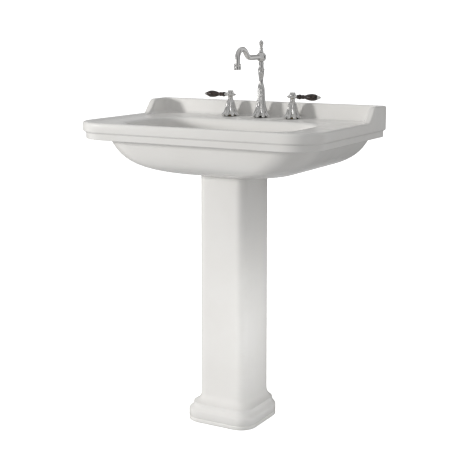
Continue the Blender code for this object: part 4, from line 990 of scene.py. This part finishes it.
# -------------------------------------------------------------------- trap
def slip_nut(name, x, y, end_z):
    tube, trap_tube = WASTE_TUBE + 0.0004, TRAP_TUBE + 0.0004
    shape = rounded(raised(end_z, (trap_tube, -0.014), (0.0222, -0.014), (0.024, -0.0124), (0.024, 0.001),
        (0.0215, 0.003), (0.0208, 0.005), (tube, 0.005), (tube, 0.0004), (trap_tube, 0.0004)), 0.0006)
    turned(name, CHROME, shape, at(x, y), 128, gripped(0.0218, 8, 0.035, 0.4, 0.85))


def trap():
    tail = rounded([(0.015, TRAP_MOUTH_Z - 0.009), (WASTE_TUBE, TRAP_MOUTH_Z - 0.009), (WASTE_TUBE, 0.629),
        (0.0188, 0.6315), (0.0188, 0.6336), (0.015, 0.6336)], 0.0004)
    turned("tailpiece", CHROME, tail, at(0, DRAIN_Y), 48)

    mesh = bmesh.new()
    swing = Matrix.Rotation(math.atan2(-OUTLET_X, OUTLET_Y - DRAIN_Y), 4, "Z")
    path = [(0, 0, TRAP_MOUTH_Z), (0, 0, 0.455)]
    path += arc(TRAP_RADIUS, TRAP_Z, TRAP_RADIUS, 180, 360, 28) + [(0, 2 * TRAP_RADIUS, TRAP_EXIT_Z)]
    pipe(mesh, [at(0, DRAIN_Y) @ swing @ Vector(point) for point in path], TRAP_TUBE, 0.017, 48)
    make("trap_bend", mesh, CHROME)
    slip_nut("trap_inlet_nut", 0, DRAIN_Y, TRAP_MOUTH_Z)
    slip_nut("trap_outlet_nut", OUTLET_X, OUTLET_Y, TRAP_EXIT_Z)

    mesh = bmesh.new()
    bend = 0.034
    path = [(0, OUTLET_Y, TRAP_EXIT_Z - 0.008), (0, OUTLET_Y, ARM_Z - bend)]
    path += arc(OUTLET_Y + bend, ARM_Z - bend, bend, 180, 90, 14)[1:]
    path += [(0, OUTLET_Y + 0.1, ARM_Z), (0, WALL_Y - 0.0005, ARM_Z)]
    pipe(mesh, [at(OUTLET_X, 0) @ Vector(point) for point in path], WASTE_TUBE, 0.015, 48)
    make("trap_arm", mesh, CHROME)

    cover = soften([(0.017, 0.0008), (0.03, 0.0008), (0.03, 0.0022), (0.027, 0.0056), (0.0218, 0.0096),
        (0.0195, 0.015), (0.017, 0.015)], 0.0014, 4, True)
    turned("wall_flange", CHROME, cover, facing(OUTLET_X, WALL_Y, ARM_Z, (0, -1, 0)), 64)


# ----------------------------------------------------------------- fixings
def fixings(side, label):
    into = facing(side * BOLT.x, WALL_Y, BOLT.z, (0, -1, 0))
    turned("wall_stud_" + label, ZINC,
        [(0, 0.0005), (0.0034, 0.0005), *threaded(0.004, 0.0012, 0.042, 0.00125), (0.0032, 0.043),
        (0, 0.043)], into, 28, thread(0.00125, 0.0006, 0.0014, 0.0419))
    turned("wall_washer_" + label, RUBBER, rounded([(0.0044, 0.0144), (0.013, 0.0144), (0.013, 0.0172),
        (0.0044, 0.0172)], 0.0006), into, 40)
    turned("wall_nut_" + label, ZINC, rounded([(0.0044, 0.0176), (0.0062, 0.0176), (0.0065, 0.0182),
        (0.0065, 0.025), (0.0062, 0.0256), (0.0044, 0.0256)], 0.0004), into, 48, hexagon)
    down = at(side * FLOOR_BOLT_X, COLUMN_Y)
    turned("floor_stud_" + label, ZINC, [(0, 0.0005), (0.003, 0.0005), *threaded(0.0035, 0.001, 0.03, 0.001),
        (0.0028, 0.031), (0, 0.031)], down, 24, thread(0.001, 0.0005, 0.0012, 0.0299))
    dome = spline([(0.0, 0.04), (0.003, 0.0394), (0.005, 0.0376), (0.0061, 0.035), (0.0064, 0.0322)], 4)
    skirt = soften([(0.0066, 0.0318), (0.0066, 0.0262), (0.0095, 0.0258), (0.0095, 0.0244),
        (0.0039, 0.0244)], 0.0004, 2)

    def cap(angle, radius, height):
        if 0.026 < height < 0.032 and radius > 0.005:
            return hexagon(angle, radius, height)
        return radius, height

    turned("floor_nut_" + label, ZINC, [*dome, *skirt, (0.0039, 0.0325), (0, 0.0325)], down, 48, cap)


# ------------------------------------------------------------------- stage
def look(obj, target):
    obj.rotation_euler = (Vector(target) - obj.location).to_track_quat("-Z", "Y").to_euler()


def add_light(name, location, target, width, height, power, color=(1.0, 1.0, 1.0)):
    data = bpy.data.lights.new(name, "AREA")
    data.shape = "RECTANGLE"
    data.size, data.size_y = width, height
    data.energy = power
    data.color = color
    obj = bpy.data.objects.new(name, data)
    obj.location = location
    bpy.context.scene.collection.objects.link(obj)
    look(obj, target)
    obj.visible_camera = False
    return obj


def world():
    """Studio surroundings: soft overhead, with light and dark panels round the sides."""
    made = bpy.data.worlds.new("studio")
    bpy.context.scene.world = made
    made.use_nodes = True
    nodes, links = made.node_tree.nodes, made.node_tree.links
    place = nodes.new("ShaderNodeTexCoord")
    split = nodes.new("ShaderNodeSeparateXYZ")
    links.new(place.outputs["Generated"], split.inputs["Vector"])
    height = set_inputs(nodes.new("ShaderNodeMapRange"), From_Min=-1.0)
    links.new(split.outputs["Z"], height.inputs["Value"])
    levels = nodes.new("ShaderNodeValToRGB")
    stops = ((0.0, 0.4), (0.42, 0.38), (0.5, 0.34), (0.62, 0.36), (1.0, 0.52))
    elements = levels.color_ramp.elements
    while len(elements) < len(stops):
        elements.new(0.5)
    for element, (position, level) in zip(elements, stops):
        element.position = position
        element.color = (level, level, level, 1.0)
    links.new(height.outputs["Result"], levels.inputs["Fac"])

    def math_node(operation, first, second=None, number=None):
        node = nodes.new("ShaderNodeMath")
        node.operation = operation
        links.new(first, node.inputs[0])
        if second is not None:
            links.new(second, node.inputs[1])
        elif number is not None:
            node.inputs[1].default_value = number
        return node.outputs["Value"]
    around = math_node("ARCTAN2", split.outputs["Y"], split.outputs["X"])
    waves = math_node("SINE", math_node("MULTIPLY", around, number=5.0))
    panels = math_node("MINIMUM", math_node("MAXIMUM", math_node("MULTIPLY", waves, number=2.5),
        number=-1.0), number=1.0)
    low_down = math_node("SUBTRACT", math_node("ABSOLUTE", split.outputs["Z"]), number=1.0)
    swing = math_node("MULTIPLY", math_node("MULTIPLY", panels, low_down), number=PANEL_CONTRAST)
    strength = math_node("ADD", swing, number=1.0)
    links.new(levels.outputs["Color"], nodes["Background"].inputs["Color"])
    links.new(strength, nodes["Background"].inputs["Strength"])


def backdrop():
    """A pale floor and a pale dome round it, seen by the camera only."""
    mat, shader = new_material("pale_floor", (0.9, 0.9, 0.9), 0.8)
    set_inputs(shader, Emission_Color=(1.0, 1.0, 1.0, 1.0), Emission_Strength=1.0)
    for name in ("floor", "backdrop"):
        mesh = bmesh.new()
        if name == "floor":
            bmesh.ops.create_grid(mesh, x_segments=1, y_segments=1, size=12.0)
            bmesh.ops.translate(mesh, vec=(0.0, 0.0, -0.0005), verts=mesh.verts)
        else:
            bmesh.ops.create_uvsphere(mesh, u_segments=48, v_segments=24, radius=16.0)
        data = bpy.data.meshes.new(name)
        mesh.to_mesh(data)
        mesh.free()
        data.materials.append(mat)
        obj = bpy.data.objects.new(name, data)
        bpy.context.scene.collection.objects.link(obj)
        obj.visible_diffuse = False
        obj.visible_glossy = False
        obj.visible_shadow = False


def camera():
    data = bpy.data.cameras.new("camera")
    data.lens = CAMERA_LENS
    data.sensor_width = 36.0
    obj = bpy.data.objects.new("camera", data)
    turn, tilt, roll = map(math.radians, CAMERA_ANGLES)
    aim = Matrix.Rotation(turn, 4, "Z") @ Matrix.Rotation(tilt, 4, "X")
    obj.matrix_world = Matrix.Translation(CAMERA_PLACE) @ aim @ Matrix.Rotation(roll, 4, "Z")
    bpy.context.scene.collection.objects.link(obj)
    bpy.context.scene.camera = obj


# --------------------------------------------------------------------- build
basin()
pedestal()
seat_gasket()
spout_column()
swan_neck()
lift_rod()
under_table(("spout_gasket", "spout_locknut"), 0.0)
spout_tee()
for side, label in ((-1, "left"), (1, "right")):
    tap_bell(label, side * TAP_X)
    lever(label, side * TAP_X, side)
    under_table(("tap_gasket_" + label, "tap_locknut_" + label), side * TAP_X)
    valve(label, side * TAP_X, side)
    fixings(side, label)
drain()
stopper()
linkage()
overflow_ring()
trap()

world()
backdrop()
camera()
bpy.context.scene.view_settings.view_transform = "Standard"
key = add_light("key", (-3.4, -3.45, 1.48), (0.0, 0.0, 0.75), 0.7, 0.7, 135.0, (1.0, 0.99, 0.975))
key.visible_glossy = False
sheen = add_light("sheen", (-3.4, -3.45, 1.48), (0.0, 0.0, 0.75), 1.3, 1.3, 26.0, (1.0, 0.99, 0.975))
sheen.visible_diffuse = False
right = add_light("right_fill", (2.4, -0.9, 0.7), (0.3, 0.0, 0.7), 0.9, 0.9, 3.2)
right.visible_glossy = False
for name, location, width, power in (("side_fill", (0.62, -0.16, 0.28), 0.12, 0.17),
        ("front_fill", (0.3, -1.1, 0.25), 0.3, 0.15)):
    fill = add_light(name, location, (0.02, 0.03, 0.28), width, 0.4, power)
    fill.data.spread = math.radians(56)
    fill.visible_glossy = False
